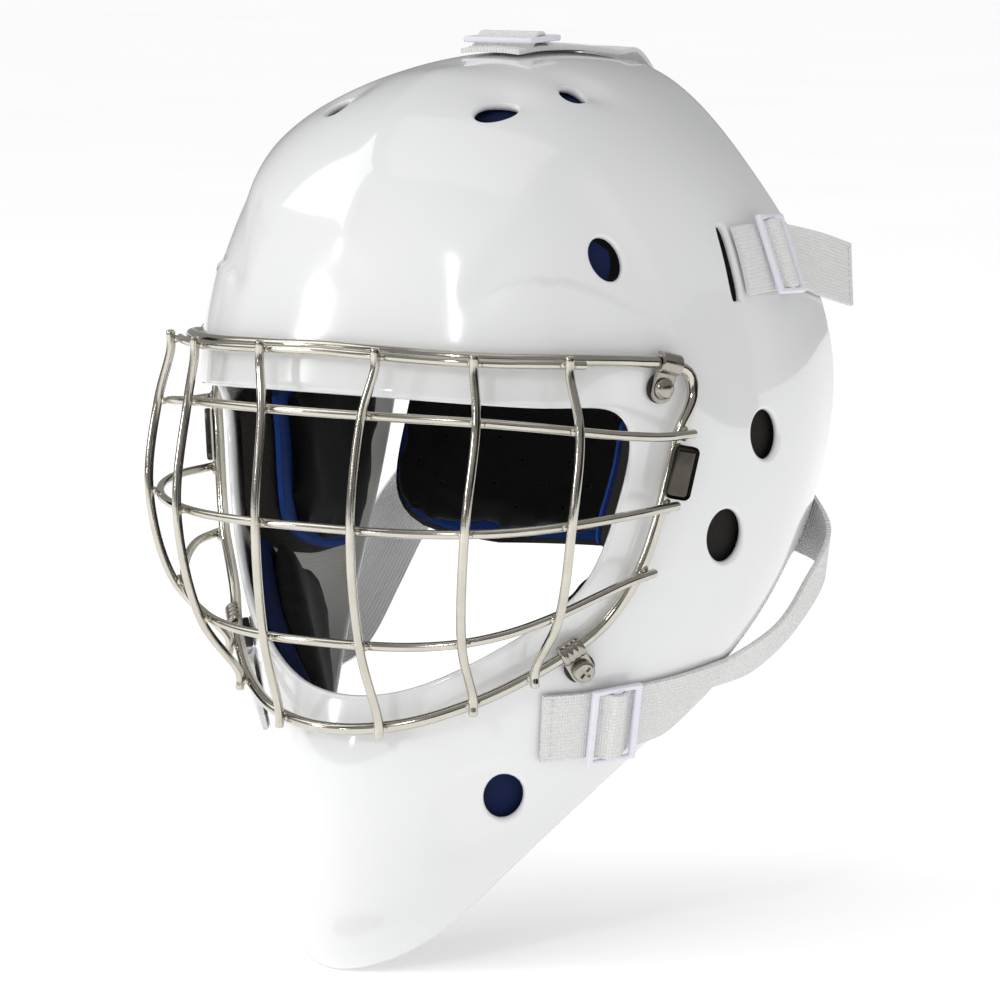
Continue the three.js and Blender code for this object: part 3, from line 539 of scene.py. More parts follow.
# Control net of the skin. Rows run from the face opening to the rear edge, each row from the middle of the
# forehead down the left side to the middle of the chin. The right side mirrors it.
net = [
    [(0, -104, 22), (31, -103, 22), (60, -94, 20.5), (80, -75, 18.5), (88, -53, 18), (90, -41, 5),
     (85.5, -47, -22), (77.5, -53, -52), (57, -73, -69), (29, -91, -86), (0, -98, -90)],
    [(0, -98.5, 55), (33, -96, 54), (64, -86.5, 50), (86, -64, 44), (98, -38, 32), (101, -24, 6),
     (96.5, -27, -28), (88, -34, -64), (63, -60, -96), (33, -93, -109), (0, -107, -112)],
    [(0, -89, 96), (34, -84, 94), (67, -70, 88), (85, -43, 74), (97, -14, 48), (107, 4, 8),
     (104, -3, -34), (94, -10, -76), (66, -46, -117), (31, -88, -137), (0, -107, -141)],
    [(0, -55, 127), (33, -51, 125), (67, -38, 114), (88, -10, 90), (102, 14, 54), (110, 30, 10),
     (107, 24, -38), (96, 12, -81), (63, -38, -127), (33, -86, -158), (0, -110, -167)],
    [(0, 10, 140), (34, 12, 135), (63, 20, 115), (85, 30, 90), (100, 42, 58), (107, 60, 12),
     (105, 46, -42), (94, 24, -82), (58, -39, -135), (34, -88, -172), (0, -113, -182)],
    [(0, 78, 134), (30, 74, 127), (56, 66, 110), (77, 60, 90), (94, 68, 62), (99.5, 88, 18),
     (98, 66, -38), (90, 36, -79), (50, -42, -140), (32, -85, -178), (0, -112, -187)],
]
half = len(net[0]) - 1
columns = 2 * half
lastRow = len(net) - 1
wholeRows = np.array([row + [(-x, y, z) for x, y, z in row[-2:0:-1]] for row in net], float)
grid = np.concatenate([2 * wholeRows[:1] - wholeRows[1:2], wholeRows, 2 * wholeRows[-1:] - wholeRows[-2:-1]])


def cubic(t):
    return np.array([(1 - t) ** 3, 3 * t ** 3 - 6 * t ** 2 + 4, -3 * t ** 3 + 3 * t ** 2 + 3 * t + 1, t ** 3]) / 6


def skin(u, v):
    u, v = np.broadcast_arrays(np.asarray(u, float), np.asarray(v, float))
    row = np.clip(np.floor(v), 0, lastRow - 1).astype(int)
    column = np.floor(u).astype(int)
    across, along = cubic(u - column), cubic(v - row)
    point = np.zeros(u.shape + (3,))
    for i in range(4):
        for j in range(4):
            point += (along[i] * across[j])[..., None] * grid[row + i, (column + j - 1) % columns]
    return point


def outward(u, v, step=0.01):
    u, v = np.asarray(u, float), np.asarray(v, float)
    return unit(np.cross(skin(u + step, v) - skin(u - step, v), skin(u, v + step) - skin(u, v - step)))


def offSkin(u, v, distance):
    return skin(u, v) + outward(u, v) * np.asarray(distance, float)[..., None]


def meet(points, ray, seed, step=0.01):
    # the skin's own coordinates where lines along the ray through the points meet it
    points, ray = np.asarray(points, float), unit(ray)
    a = unit(np.cross(ray, (0, 0, 1) if abs(ray[2]) < 0.9 else (1, 0, 0)))
    b = unit(np.cross(ray, a))
    u = np.full(points.shape[:-1], float(seed[0]))
    v = np.full(points.shape[:-1], float(seed[1]))
    miss = lambda u, v: ((skin(u, v) - points) @ a, (skin(u, v) - points) @ b)
    for turn in range(12):
        f, g = miss(u, v)
        fu, gu = ((w - w0) / step for w, w0 in zip(miss(u + step, v), (f, g)))
        fv, gv = ((w - w0) / step for w, w0 in zip(miss(u, v + step), (f, g)))
        det = fu * gv - fv * gu
        u, v = u - (f * gv - g * fv) / det, v - (g * fu - f * gu) / det
    return u, v


# Soft creases of the moulding, on the left side and mirrored: a line in columns and rows, how deep it goes,
# how far it fades, and whether what lies beside it is dished, raised or stepped down.
creases = {
    "templePlane": {"line": [(2.06, 2.75), (1.87, 2.08), (1.71, 1.81), (1.56, 1.55), (1.48, 1.30), (1.46, 1.08),
                             (1.60, 0.94), (1.86, 0.84)], "depth": 1.7, "fade": 15, "ends": 16, "form": "dish"},
    "foreheadRidge": {"line": [(0, 3.6), (0, 2.9), (0, 2.2), (0, 1.5), (0, 0.9)], "depth": 2.4, "fade": 15,
                      "ends": 25, "form": "ridge"},
    "jawPanel": {"line": [(8.31, 1.45), (8.65, 1.35), (8.86, 1.41), (8.97, 1.63), (9.03, 2.12), (9.0, 2.9)],
                 "depth": 0.9, "fade": 45, "ends": 9, "form": "step"},
    "cheekLine": {"line": [(6.6, 2.0), (6.55, 2.5), (6.5, 3.0)], "depth": 0.35, "fade": 18, "ends": 8,
                  "form": "step"},
    "browLine": {"line": [(-1, 0.56), (0, 0.56), (0.9, 0.56), (2.0, 0.56), (2.9, 0.66)], "depth": 0.45, "fade": 10,
                 "ends": 14, "form": "ridge"},
}
# Oval vents: centre, ray and first guess for where it meets the skin, half sizes, lean, scoop behind it
vents = {
    "brow": {"at": (32, -46, 113), "ray": (0.35, -0.5, 1), "seed": (1, 3),
             "half": (9, 5.5), "lean": 0.1, "scoop": 2.2},
    "top": {"at": (45, -15, 124), "ray": (0.35, -0.1, 1), "seed": (1.5, 3.5),
            "half": (8, 5), "lean": 0.1, "scoop": 2.2},
    "temple": {"at": (88, -52, 68), "ray": (88, -20.8, 0), "seed": (3.3, 2),
               "half": (6.5, 8.2), "lean": 0, "scoop": 0},
    "ear": {"at": (103, 16, 1), "ray": (103, 6.4, 0), "seed": (5.3, 3),
            "half": (8.2, 9.2), "lean": 0.25, "scoop": 0},
    "cheek": {"at": (100, -3, -34), "ray": (100, -1.2, 0), "seed": (6, 2.4),
              "half": (9, 10), "lean": 0.25, "scoop": 0},
    "jaw": {"at": (52, -68, -124), "ray": (52, -27.2, 0), "seed": (8.4, 2.2),
            "half": (7.5, 8.5), "lean": 0.2, "scoop": 0},
}
scoopRadius, scoopBehind = 9, 8
for crease in creases.values():
    turns = curveThrough(crease["line"], 48)
    crease["points"] = skin(turns[:, 0], turns[:, 1])
for vent in vents.values():
    vent["u"], vent["v"] = (float(w) for w in meet(vent["at"], vent["ray"], vent["seed"]))
    vent["behind"] = skin(vent["u"], vent["v"]) + scoopBehind * unit(
        skin(vent["u"], vent["v"] + 0.1) - skin(vent["u"], vent["v"]))


def besideLine(points, normals, line):
    # signed distance from a line on the skin, and how far along it the nearest point lies
    lengths = np.linalg.norm(np.diff(line, axis=0), axis=1)
    starts = np.concatenate([[0], np.cumsum(lengths)])
    nearest = np.full(points.shape[:-1], 1e9)
    signed, along = np.zeros(nearest.shape), np.zeros(nearest.shape)
    for a, b, length, start in zip(line, line[1:], lengths, starts):
        way = (b - a) / length
        run = np.clip((points - a) @ way, 0, length)
        off = points - a - run[..., None] * way
        distance = np.linalg.norm(off, axis=-1)
        side = np.sign(np.einsum("...k,...k", np.cross(way, off), normals))
        closer = distance < nearest
        nearest = np.where(closer, distance, nearest)
        signed = np.where(closer, side * distance, signed)
        along = np.where(closer, start + run, along)
    return signed, along, starts[-1]


def relief(u, v):
    folded, v = np.broadcast_arrays(np.abs((np.asarray(u, float) + half) % columns - half), v)
    points, normals = skin(folded, v), outward(folded, v)
    lift = np.zeros(folded.shape)
    for crease in creases.values():
        off, along, total = besideLine(points, normals, crease["points"])
        share = ease(along / crease["ends"]) * ease((total - along) / crease["ends"])
        softened = 0.5 * (off + np.sqrt(off ** 2 + 4))
        if crease["form"] == "dish":
            lift -= share * crease["depth"] * softened / crease["fade"] * np.exp(1 - softened / crease["fade"])
        if crease["form"] == "ridge":
            lift += share * crease["depth"] * np.exp(-(np.sqrt(off ** 2 + 9) - 3) / crease["fade"])
        if crease["form"] == "step":
            lift -= share * crease["depth"] * ease((off + 2) / 4) * np.exp(-np.maximum(off, 0) / crease["fade"])
    for vent in vents.values():
        if vent["scoop"]:
            distance = np.linalg.norm(points - vent["behind"], axis=-1)
            lift -= vent["scoop"] * np.exp(-(distance / scoopRadius) ** 2)
    return lift


def surface(u, v, depth=0.0):
    return offSkin(u, v, relief(u, v) - depth)


def outline(spot, halfSizes, roundness=2.0, count=56):
    angles = np.linspace(0, 2 * math.pi, count, endpoint=False)
    c, s = np.cos(angles), np.sin(angles)
    x = halfSizes[0] * np.sign(c) * np.abs(c) ** (2 / roundness)
    y = halfSizes[1] * np.sign(s) * np.abs(s) ** (2 / roundness)
    return placed(np.stack([x, y, np.zeros(count)], 1), spot)


openings = []         # spot, half sizes, roundness, first guess on the skin
for vent in vents.values():
    normal = outward(vent["u"], vent["v"])
    tilt = np.array(Matrix.Rotation(vent["lean"], 3, Vector(normal)) @ Vector((0, -0.3, 1)))
    openings.append((frameAt(surface(vent["u"], vent["v"]), normal, tilt), vent["half"], 2.0, (vent["u"], vent["v"])))


def shellPiece():
    wall, rim = shell["wall"], shell["rim"]
    u = np.linspace(0, columns, shell["around"], endpoint=False)[:, None]
    v = np.linspace(0, lastRow, shell["along"])[None, :]
    outer, inner = surface(u, v), surface(u, v, wall)
    normals = outward(u, v)
    turns = np.linspace(0, math.pi, rim + 2)[1:-1]

    def roundedEdge(column, way):
        middle = (outer[:, column] + inner[:, column]) / 2
        past = unit(np.cross(normals[:, column], unit(np.roll(middle, -1, 0) - np.roll(middle, 1, 0)))) * way
        return np.stack([middle + wall / 2 * (math.cos(t) * normals[:, column] + math.sin(t) * past)
                         for t in turns], 1)
    rear = roundedEdge(-1, 1)
    front = roundedEdge(0, -1)[:, ::-1]
    rings = np.concatenate([outer, rear, inner[:, ::-1], front], 1)
    around = rings.shape[1]
    faces = loftFaces(len(u), around, True)
    body = meshPiece("shell_moulding", rings.reshape(-1, 3), faces, paint["gelcoat"], paint["laminate"])
    firstInner, lastInner = shell["along"] + rim, 2 * shell["along"] + rim - 1
    for index, face in enumerate(body.data.polygons):
        face.material_index = int(firstInner <= index % around < lastInner)
    return body


def openUp(body):
    # holes are cut half a wall oversize and their rims are turned over a bead, as the trimmed edge is
    wall = shell["wall"]
    cutters, rims = [], []
    for spot, halfSizes, roundness, seed in openings:
        for side in sides.values():
            wide = [h + wall / 2 for h in halfSizes]
            ring = outline(spot, wide, roundness)
            normal = spot[:3, 2]
            prism = np.vstack([ring + normal * 4 * wall, ring - normal * 4 * wall])
            caps = [tuple(range(len(ring))), tuple(range(len(ring), 2 * len(ring)))]
            cutters.append(meshPiece("cutter", flip(prism, side), loftFaces(2, len(ring)) + caps))
            u, v = meet(ring, normal, seed)
            rims.append(wirePiece("rim", flip(surface(u, v, wall / 2), side), wall, True, 14))
            rims[-1].data.materials.append(paint["gelcoat"])
    tool = joined("cutter", cutters)
    applied(body, "BOOLEAN", operation="DIFFERENCE", object=tool, solver="EXACT")
    bpy.data.objects.remove(tool)
    return joined("shell_moulding", [body] + rims)


# ---- Harness lines ----

strap = {"width": 25, "thickness": 1.8, "lift": 1.3, "lanes": 41, "stitchPitch": 2.2, "stitchInset": 3}
slide = {"bar": 2.6, "centreBar": 4, "window": 5.6, "thickness": 2.2, "overhang": 5, "edge": 0.75, "clearance": 1.2}
slideLift = strap["lift"] + strap["thickness"] + 0.7
plate = {"width": 192, "topWidth": 160, "height": 137, "bulge": 50, "dish": 14, "thickness": 3, "rear": 124,
         "middle": 8.5, "foam": 4, "pad": 9, "foamFrom": 5.2, "strapLift": 0.9}
laneOffsets = np.linspace(-strap["width"] / 2, strap["width"] / 2, 9)


def bowLine(x, z):
    return (plate["rear"] - plate["bulge"] * (np.abs(x) / (plate["width"] / 2)) ** 2.2
            - plate["dish"] * ((z - plate["middle"]) / (plate["height"] / 2)) ** 2)


def onBackplate(x, z, distance, step=0.01):
    slopeX = (bowLine(x + step, z) - bowLine(x - step, z)) / (2 * step)
    slopeZ = (bowLine(x, z + step) - bowLine(x, z - step)) / (2 * step)
    return (np.stack([x, bowLine(x, z), z], -1)
            + unit(np.stack([-slopeX, np.ones_like(slopeX), -slopeZ], -1)) * distance)


# A strap section is its lower and upper line of points across the band.
def plateSection(x, z, lean=0.0):
    lane = [x + laneOffsets * math.sin(lean), z + laneOffsets * math.cos(lean)]
    return np.stack([onBackplate(*lane, plate["strapLift"]),
                     onBackplate(*lane, plate["strapLift"] + strap["thickness"])])


def flatSection(centre, direction, normal):
    across = unit(np.cross(direction, normal))
    up = unit(np.cross(across, direction))
    low = np.asarray(centre, float) + laneOffsets[:, None] * across
    return np.stack([low, low + up * strap["thickness"]])


def skinSection(centre, direction, ray, seed, lift, inside=False):
    u, v = meet(centre, ray, seed)
    normal = outward(u, v)
    across = unit(np.cross(direction, normal))
    lanes = skin(u, v) + laneOffsets[:, None] * across
    footU, footV = meet(lanes, normal, (float(u), float(v)))
    base = -shell["wall"] - lift - strap["thickness"] if inside else lift
    foot = skin(footU, footV)
    return np.stack([foot + normal * base, foot + normal * (base + strap["thickness"])])


def wayAlong(line, i):
    return unit(line[min(i + 1, len(line) - 1)] - line[max(i - 1, 0)])


lowerLine = np.array([(86, 17, -89), (84, 8, -90.5), (82, -2, -92), (78.5, -13, -93.3), (76, -22, -94.5),
                      (73, -30, -95.5), (70.5, -38, -96.5), (64, -53, -98), (59.5, -61, -98.5)])
lowerSeeds = [(7.1 + 0.9 * s, 4.6 - 3.4 * s) for s in np.linspace(0, 1, len(lowerLine))]
lowerRay = (0.95, -0.1, -0.3)
lowerSlideAt = 6
upperLine = np.array([(98, 12, 63), (97, 24, 63), (96, 36, 62.5), (94, 50, 61.5), (93, 60, 60)])
upperSeeds = [(3.7, 3), (3.7, 3.4), (3.8, 3.7), (3.9, 4.2), (3.95, 4.7)]
upperRay = unit((1, 0, 0.25))
upperWay = unit(upperLine[4] - upperLine[0])
tailWay = unit(upperWay + (0.02, 0, -0.4))
tailUp = unit((1, 0.1, 0.25))
upperSlideAt = 2
topLine = np.array([(0, 70, 134), (0, 52, 136), (0, 32, 136), (0, 14, 136), (0, -1, 135)], float)
topSeeds = [(0, 4.9), (0, 4.6), (0, 4.2), (0, 3.9), (0, 3.7)]
topWay = unit((0, -1, 0.02))
topRay = (0, 0, 1)
topSlideAt = 3
slotLead = 4
slotMouth = meet(upperLine[0] - slotLead * upperWay, upperRay, upperSeeds[0])
slotHalf = ((strap["width"] + 2 * slide["clearance"]) / 2, (strap["thickness"] + 2 * slide["clearance"] + 1) / 2)
openings.append((frameAt(surface(*slotMouth), outward(*slotMouth), upperWay), slotHalf, 5.0,
                 (float(slotMouth[0]), float(slotMouth[1]))))

body = openUp(shellPiece())
finished(body, "gelcoat", "root", "shell")
crisp(body, 40)
print("shell moulded and trimmed")


# ---- Cage ----

cage = {"frameWire": 4.2, "barWire": 3.3, "standoff": 1.2, "browDrop": 1.4, "gap": 0.3, "overhang": 2,
        "bow": {"h1": 7.5, "h2": 12.6, "h3": 8.4}, "plateWidth": 10, "plateThickness": 2}
frameCourse = np.array([(0, 0.44, 0.6), (0.74, 0.43, 0.6), (1.8, 0.46, 0.8), (2.86, 0.58, 0.6), (3.6, 0.78, 0.4),
                        (4.05, 1.08, 0.1), (4.3, 1.24, 0), (4.5, 1.16, 0.3), (4.66, 0.98, 0.8), (4.92, 0.7, 1),
                        (5.4, 0.56, 1.2), (6.06, 0.52, 1.3), (6.5, 0.5, 1.2), (6.9, 0.49, 0.2), (7.2, 0.48, 0),
                        (7.56, 0.42, 1), (8, 0.38, 2.4), (8.5, 0.38, 3.6), (9.2, 0.44, 4), (10, 0.48, 3.6)])
frameLift = cage["standoff"] + cage["frameWire"] / 2
leftFrame = offSkin(frameCourse[:, 0], frameCourse[:, 1], frameLift + frameCourse[:, 2])
frameSamples = curveThrough(leftFrame, 400)
wires = (cage["frameWire"] + cage["barWire"]) / 2 + cage["gap"]
crossing = cage["barWire"] + 2 * cage["gap"]


def wire(name, path, diameter, node, closed=False):
    piece = wirePiece(name, path, diameter, closed)
    piece.data.materials.append(paint["wire"])
    return finished(piece, "wire", "root", node)


def frameAtHeight(z):
    low = frameSamples[120:]
    return low[np.argmin(np.abs(low[:, 2] - z))]


class CrossBar:
    # a squarish arch from the frame's left side, round the front, to its right
    def __init__(self, endHeight, frontHeight, front, squareness):
        rest = frameAtHeight(endHeight)
        self.end = rest + (wires + cage["overhang"] / 2, cage["overhang"], 0)
        self.frontHeight, self.front, self.squareness = frontHeight, front, squareness

    def at(self, x):
        share = np.minimum(np.abs(x) / self.end[0], 1)
        y = self.end[1] + (self.front - self.end[1]) * (1 - share ** self.squareness) ** (1 / self.squareness)
        z = self.frontHeight + (self.end[2] - self.frontHeight) * share ** 4
        return np.stack([x, y, z], -1)

    def path(self):
        c = np.cos(np.linspace(0, math.pi, 17))
        return self.at(self.end[0] * np.sign(c) * np.abs(c) ** (2 / self.squareness))


barLine = leftFrame[0][1]
crossBars = {"h1": CrossBar(6, 14.6, barLine - cage["bow"]["h1"], 2.2),
             "h2": CrossBar(-19, -25, barLine - cage["bow"]["h2"], 2.5),
             "h3": CrossBar(-43, -66, barLine - cage["bow"]["h3"], 2.1)}
wire("frameWire", curveThrough(np.vstack([leftFrame, flip(leftFrame[1:-1], -1)[::-1]]), 300, True),
     cage["frameWire"], "frame_wire", True)
for name, bar in crossBars.items():
    wire("crossBar" + name.upper(), curveThrough(bar.path(), 150), cage["barWire"], "cross_bar_" + name)
browRun = frameSamples[(frameSamples[:, 0] <= 86) & (frameSamples[:, 2] > 0)]
ahead = np.gradient(browRun, axis=0)
browRun = browRun + wires * unit(np.stack([ahead[:, 1], -ahead[:, 0], 0 * ahead[:, 0]], 1)) - (0, 0, cage["browDrop"])
browLeft = browRun[::12]
wire("browWire", curveThrough(np.vstack([flip(browLeft[1:], -1)[::-1], browLeft]), 130), cage["barWire"], "brow_wire")

# how far out each upright stands at the brow wire, the three cross bars and the frame wire's foot
uprights = {
    "inner": (24.5, 20.8, 20, 20.1, 20), "middle": (58, 60, 59.9, 54.3, 47.5),
    "outer": (83, 87.7, 87.5, 80, 63),
}


def beside(line, x, distance):
    # the point of a wire beside x, moved off it away from the face
    i = max(int(np.argmax((line[:-1, 0] - x) * (line[1:, 0] - x) <= 0)), 1)
    run = line[i + 1] - line[i - 1]
    away = unit(np.array([run[1], -run[0], 0]) * (np.sign(run[0]) or 1))
    return line[i] + away * distance, unit(run), away


lowFrame = frameSamples[frameSamples[:, 2] < -60]
barSamples = {name: bar.at(bar.end[0] * np.linspace(0, 0.999, 401)) for name, bar in crossBars.items()}
welds = []            # where a wire meets another: contact point, run of the crossed wire, way off it
for name, (top, x1, x2, x3, foot) in uprights.items():
    brow, browWay, browOff = beside(browRun, top, crossing)
    low, lowWay, lowOff = beside(lowFrame, foot, wires)
    joints = [beside(barSamples[bar], x, crossing) for bar, x in (("h1", x1), ("h2", x2), ("h3", x3))]
    path = np.array([brow + (0, 0, cage["barWire"] / 2 + 1), brow - (0, 0, cage["barWire"])]
                    + [j[0] for j in joints] + [low + (0, 0, cage["frameWire"] / 2),
                                                low - (0, 0, cage["frameWire"] / 2 + 1)])
    for at, run, off in [(brow, browWay, browOff), (low, lowWay, lowOff)] + joints:
        welds.append((at - off * crossing / 2, run, off))
    for side, sign in sides.items():
        wire(f"upright{name.title()}{side.title()}", curveThrough(flip(path, sign), 120), cage["barWire"],
             f"upright_bar_{name}_{side}")
for bar in crossBars.values():
    welds.append((bar.end - (wires / 2 + 0.5, cage["overhang"] * 0.9, 0), np.array([0, 0, 1.0]),
                  np.array([1.0, 0, 0])))


def ballAt(centre, sizes, axes, rows=5, around=8):
    # a weld nugget: a small uneven ball of seven rings
    rings = []
    for a in np.linspace(-0.46 * math.pi, 0.46 * math.pi, rows):
        for b in np.linspace(0, 2 * math.pi, around, endpoint=False):
            way = np.array([math.cos(a) * math.cos(b), math.cos(a) * math.sin(b), math.sin(a)])
            rings.append(centre + (way * sizes * random.uniform(0.86, 1.12)) @ axes)
    caps = [tuple(range(around)), tuple(range((rows - 1) * around, rows * around))]
    return np.array(rings), loftFaces(rows, around) + caps


def weldBeads():
    points, faces = [], []
    for at, run, off in welds:
        axes = np.array([run, off, np.cross(run, off)])
        for sign in sides.values():
            for where in (-1, 1):
                centre = at + run * where * cage["barWire"] * 0.42
                ball, quads = ballAt(centre, np.array([1.5, 1.15, 1.3]) * random.uniform(0.85, 1.1), axes)
                first = sum(len(p) for p in points)
                points.append(flip(ball, sign))
                faces += [tuple(first + k for k in quad) for quad in quads]
    return meshPiece("weldBeads", np.vstack(points), faces, paint["wire"])


finished(weldBeads(), "wire", "root")

# Flat plate welded along the frame wire between the ends of the two upper cross bars
plateTop = crossBars["h1"].end[2] - crossing / 2 - cage["gap"]
plateFoot = crossBars["h2"].end[2] + crossing / 2 + cage["gap"]
plateRise = unit(frameAtHeight(plateTop) - frameAtHeight(plateFoot))
plateOut = unit(np.array([0.86, -0.5, 0]) - plateRise * np.dot((0.86, -0.5, 0), plateRise))
plateTall = (plateTop - plateFoot) / plateRise[2] - cage["plateThickness"]
plateSpot = (frameAtHeight((plateTop + plateFoot) / 2) + np.cross(plateRise, plateOut) * cage["plateWidth"] / 4
             + plateOut * ((cage["frameWire"] + cage["plateThickness"]) / 2 + 2 * cage["gap"]))


def boxPiece(name, sizes, spot, edge, material, corner=None):
    # a blank sawn to size, its corners rounded, its edges broken
    bpy.ops.object.select_all(action="DESELECT")
    bpy.ops.mesh.primitive_cube_add(size=1)
    piece = bpy.context.object
    piece.name = name
    piece.data.transform(Matrix.Diagonal((*[s * mm for s in sizes], 1)))
    if corner:
        bpy.ops.object.mode_set(mode="EDIT")
        bpy.ops.mesh.select_all(action="DESELECT")
        bpy.ops.object.mode_set(mode="OBJECT")
        for e in piece.data.edges:
            a, b = (piece.data.vertices[i].co for i in e.vertices)
            e.select = abs(a.z - b.z) > 1e-6
        bpy.ops.object.mode_set(mode="EDIT")
        bpy.ops.mesh.select_mode(type="EDGE")
        bpy.ops.mesh.bevel(offset=corner * mm, segments=6, affect="EDGES")
        bpy.ops.object.mode_set(mode="OBJECT")
    applied(piece, "BEVEL", width=edge * mm, segments=3, limit_method="ANGLE", angle_limit=math.radians(50))
    matrix = Matrix(spot.tolist())
    matrix.translation *= mm
    piece.data.transform(matrix)
    piece.data.materials.append(material)
    return crisp(piece)


# the side plates take the steel strip darkened as painted dark reflection
for side, sign in sides.items():
    spot = frameAt(flip(plateSpot, sign), flip(plateOut, sign), flip(plateRise, sign))
    finished(boxPiece(f"sidePlate{side.title()}", (cage["plateWidth"], plateTall, cage["plateThickness"]), spot, 0.35,
                      paint["strip"], 2.4), "strip", "root", f"side_plate_{side}")
print("cage welded")


# ---- Cage clips ----

clip = {"width": 9, "thickness": 1.2, "shank": 4, "head": 8, "headHeight": 2.6, "washer": 11, "nutFlange": 11,
        "nutBarrel": 6.4, "nutThickness": 1.2, "wireClearance": 0.6, "seat": 0.6}
hookInner = cage["frameWire"] / 2 + clip["wireClearance"]
hookOuter = hookInner + clip["thickness"]
clipReach = max(hookOuter + clip["head"] / 2, (clip["washer"] + cage["frameWire"]) / 2) + cage["gap"]
clipSpots = {"upper": ((4, 1.04), -1), "lower": ((7.56, 0.42), 1)}


def turned(name, profile, spot, material, steps=40):
    # a profile of (radius, height) spun round its own axis, then set in place
    closed = profile[0] == profile[-1]
    corners = profile[:-1] if closed else profile
    mesh = bpy.data.meshes.new(name)
    edges = [(i, (i + 1) % len(corners)) for i in range(len(corners) - (0 if closed else 1))]
    mesh.from_pydata([(r * mm, 0, h * mm) for r, h in corners], edges, [])
    piece = bpy.data.objects.new(name, mesh)
    bpy.context.scene.collection.objects.link(piece)
    only(piece)
    bpy.ops.object.mode_set(mode="EDIT")
    bpy.ops.mesh.select_all(action="SELECT")
    bpy.ops.mesh.spin(steps=steps, angle=2 * math.pi, center=(0, 0, 0), axis=(0, 0, 1))
    bpy.ops.mesh.select_all(action="SELECT")
    bpy.ops.mesh.remove_doubles(threshold=1e-6)
    bpy.ops.mesh.normals_make_consistent(inside=False)
    bpy.ops.object.mode_set(mode="OBJECT")
    matrix = Matrix(spot.tolist())
    matrix.translation *= mm
    mesh.transform(matrix)
    mesh.materials.append(material)
    return crisp(piece, 32)


def rounded(radius, low, high, edge, inner=0.0):
    # half section of a disc or washer with broken edges, from its bore to its rim
    corner = [(radius - edge + edge * math.sin(t), high - edge + edge * math.cos(t))
              for t in np.linspace(0, math.pi / 2, 5)]
    foot = [(radius - edge + edge * math.cos(t), low + edge - edge * math.sin(t))
            for t in np.linspace(0, math.pi / 2, 5)]
    section = [(inner, high)] + corner + foot + [(inner, low)]
    return section + [section[0]] if inner else section


def clipBand(name, reach, spot, grooved):
    # strip bent over the wire and flat to the screw, as a side view repeated across its width
    far, t = math.radians(200), clip["thickness"] / 2
    stations = np.linspace(-clip["width"] / 2, clip["width"] / 2, 25)
    rings = []
    for z in stations:
        edge = min(clip["width"] / 2 - abs(z), 0.35)
        inset = 0.35 - math.sqrt(max(0.35 ** 2 - (0.35 - edge) ** 2, 0))
        groove = 0.22 * (math.cos(2 * math.pi * z / 2.2) > 0.35) if grooved else 0
        outer = hookOuter - groove - inset
        tabWidth = clip["width"] / 2
        tabEnd = reach + math.sqrt(max(tabWidth ** 2 - z ** 2, 0)) + 0.8
        arc = np.linspace(math.asin(t / outer), far, 22)
        back = np.linspace(far, -math.asin(t / hookInner), 22)
        ring = [(tabEnd - inset, -t + inset), (tabEnd - inset, t - inset)]
        ring += [(outer * math.cos(a), outer * math.sin(a)) for a in arc]
        ring += [(hookInner * math.cos(a), hookInner * math.sin(a)) for a in back]
        rings += [(x, y, z) for x, y in ring]
    around = len(rings) // len(stations)
    caps = [tuple(range(around)), tuple(range(len(rings) - around, len(rings)))]
    piece = meshPiece(name, placed(rings, spot), loftFaces(len(stations), around) + caps, paint["steel"])
    return crisp(piece)


def screwHead(name, top, foot, spot, recessed):
    head, shank, tall = clip["head"] / 2, clip["shank"] / 2, clip["headHeight"]
    curve = [(head * math.sin(a), top + tall * math.cos(a)) for a in np.linspace(0, math.pi / 2, 12)]
    if recessed:
        curve = [(0, top + tall)] + [(head * (0.72 + 0.28 * math.sin(a)), top + tall * (0.42 + 0.58 * math.cos(a)))
                                     for a in np.linspace(0, math.pi / 2, 7)] + [(head, top)]
    piece = turned(name, curve + [(shank, top), (shank, foot), (0, foot)], spot, paint["steel"], 48)
    if recessed:
        blades = []
        for turn in (0.3, 0.3 + math.pi / 2):
            blade = boxPiece("blade", (4.8, 1.1, 2.6), np.eye(4), 0.05, paint["steel"])
            spin = Matrix.Rotation(turn, 4, "Z")
            matrix = Matrix(spot.tolist()) @ Matrix.Translation((0, 0, top + tall)) @ spin
            matrix.translation *= mm
            blade.data.transform(matrix)
            blades.append(blade)
        for blade in blades:
            applied(piece, "BOOLEAN", operation="DIFFERENCE", object=blade, solver="EXACT")
            bpy.data.objects.remove(blade)
        crisp(piece, 32)
    return piece


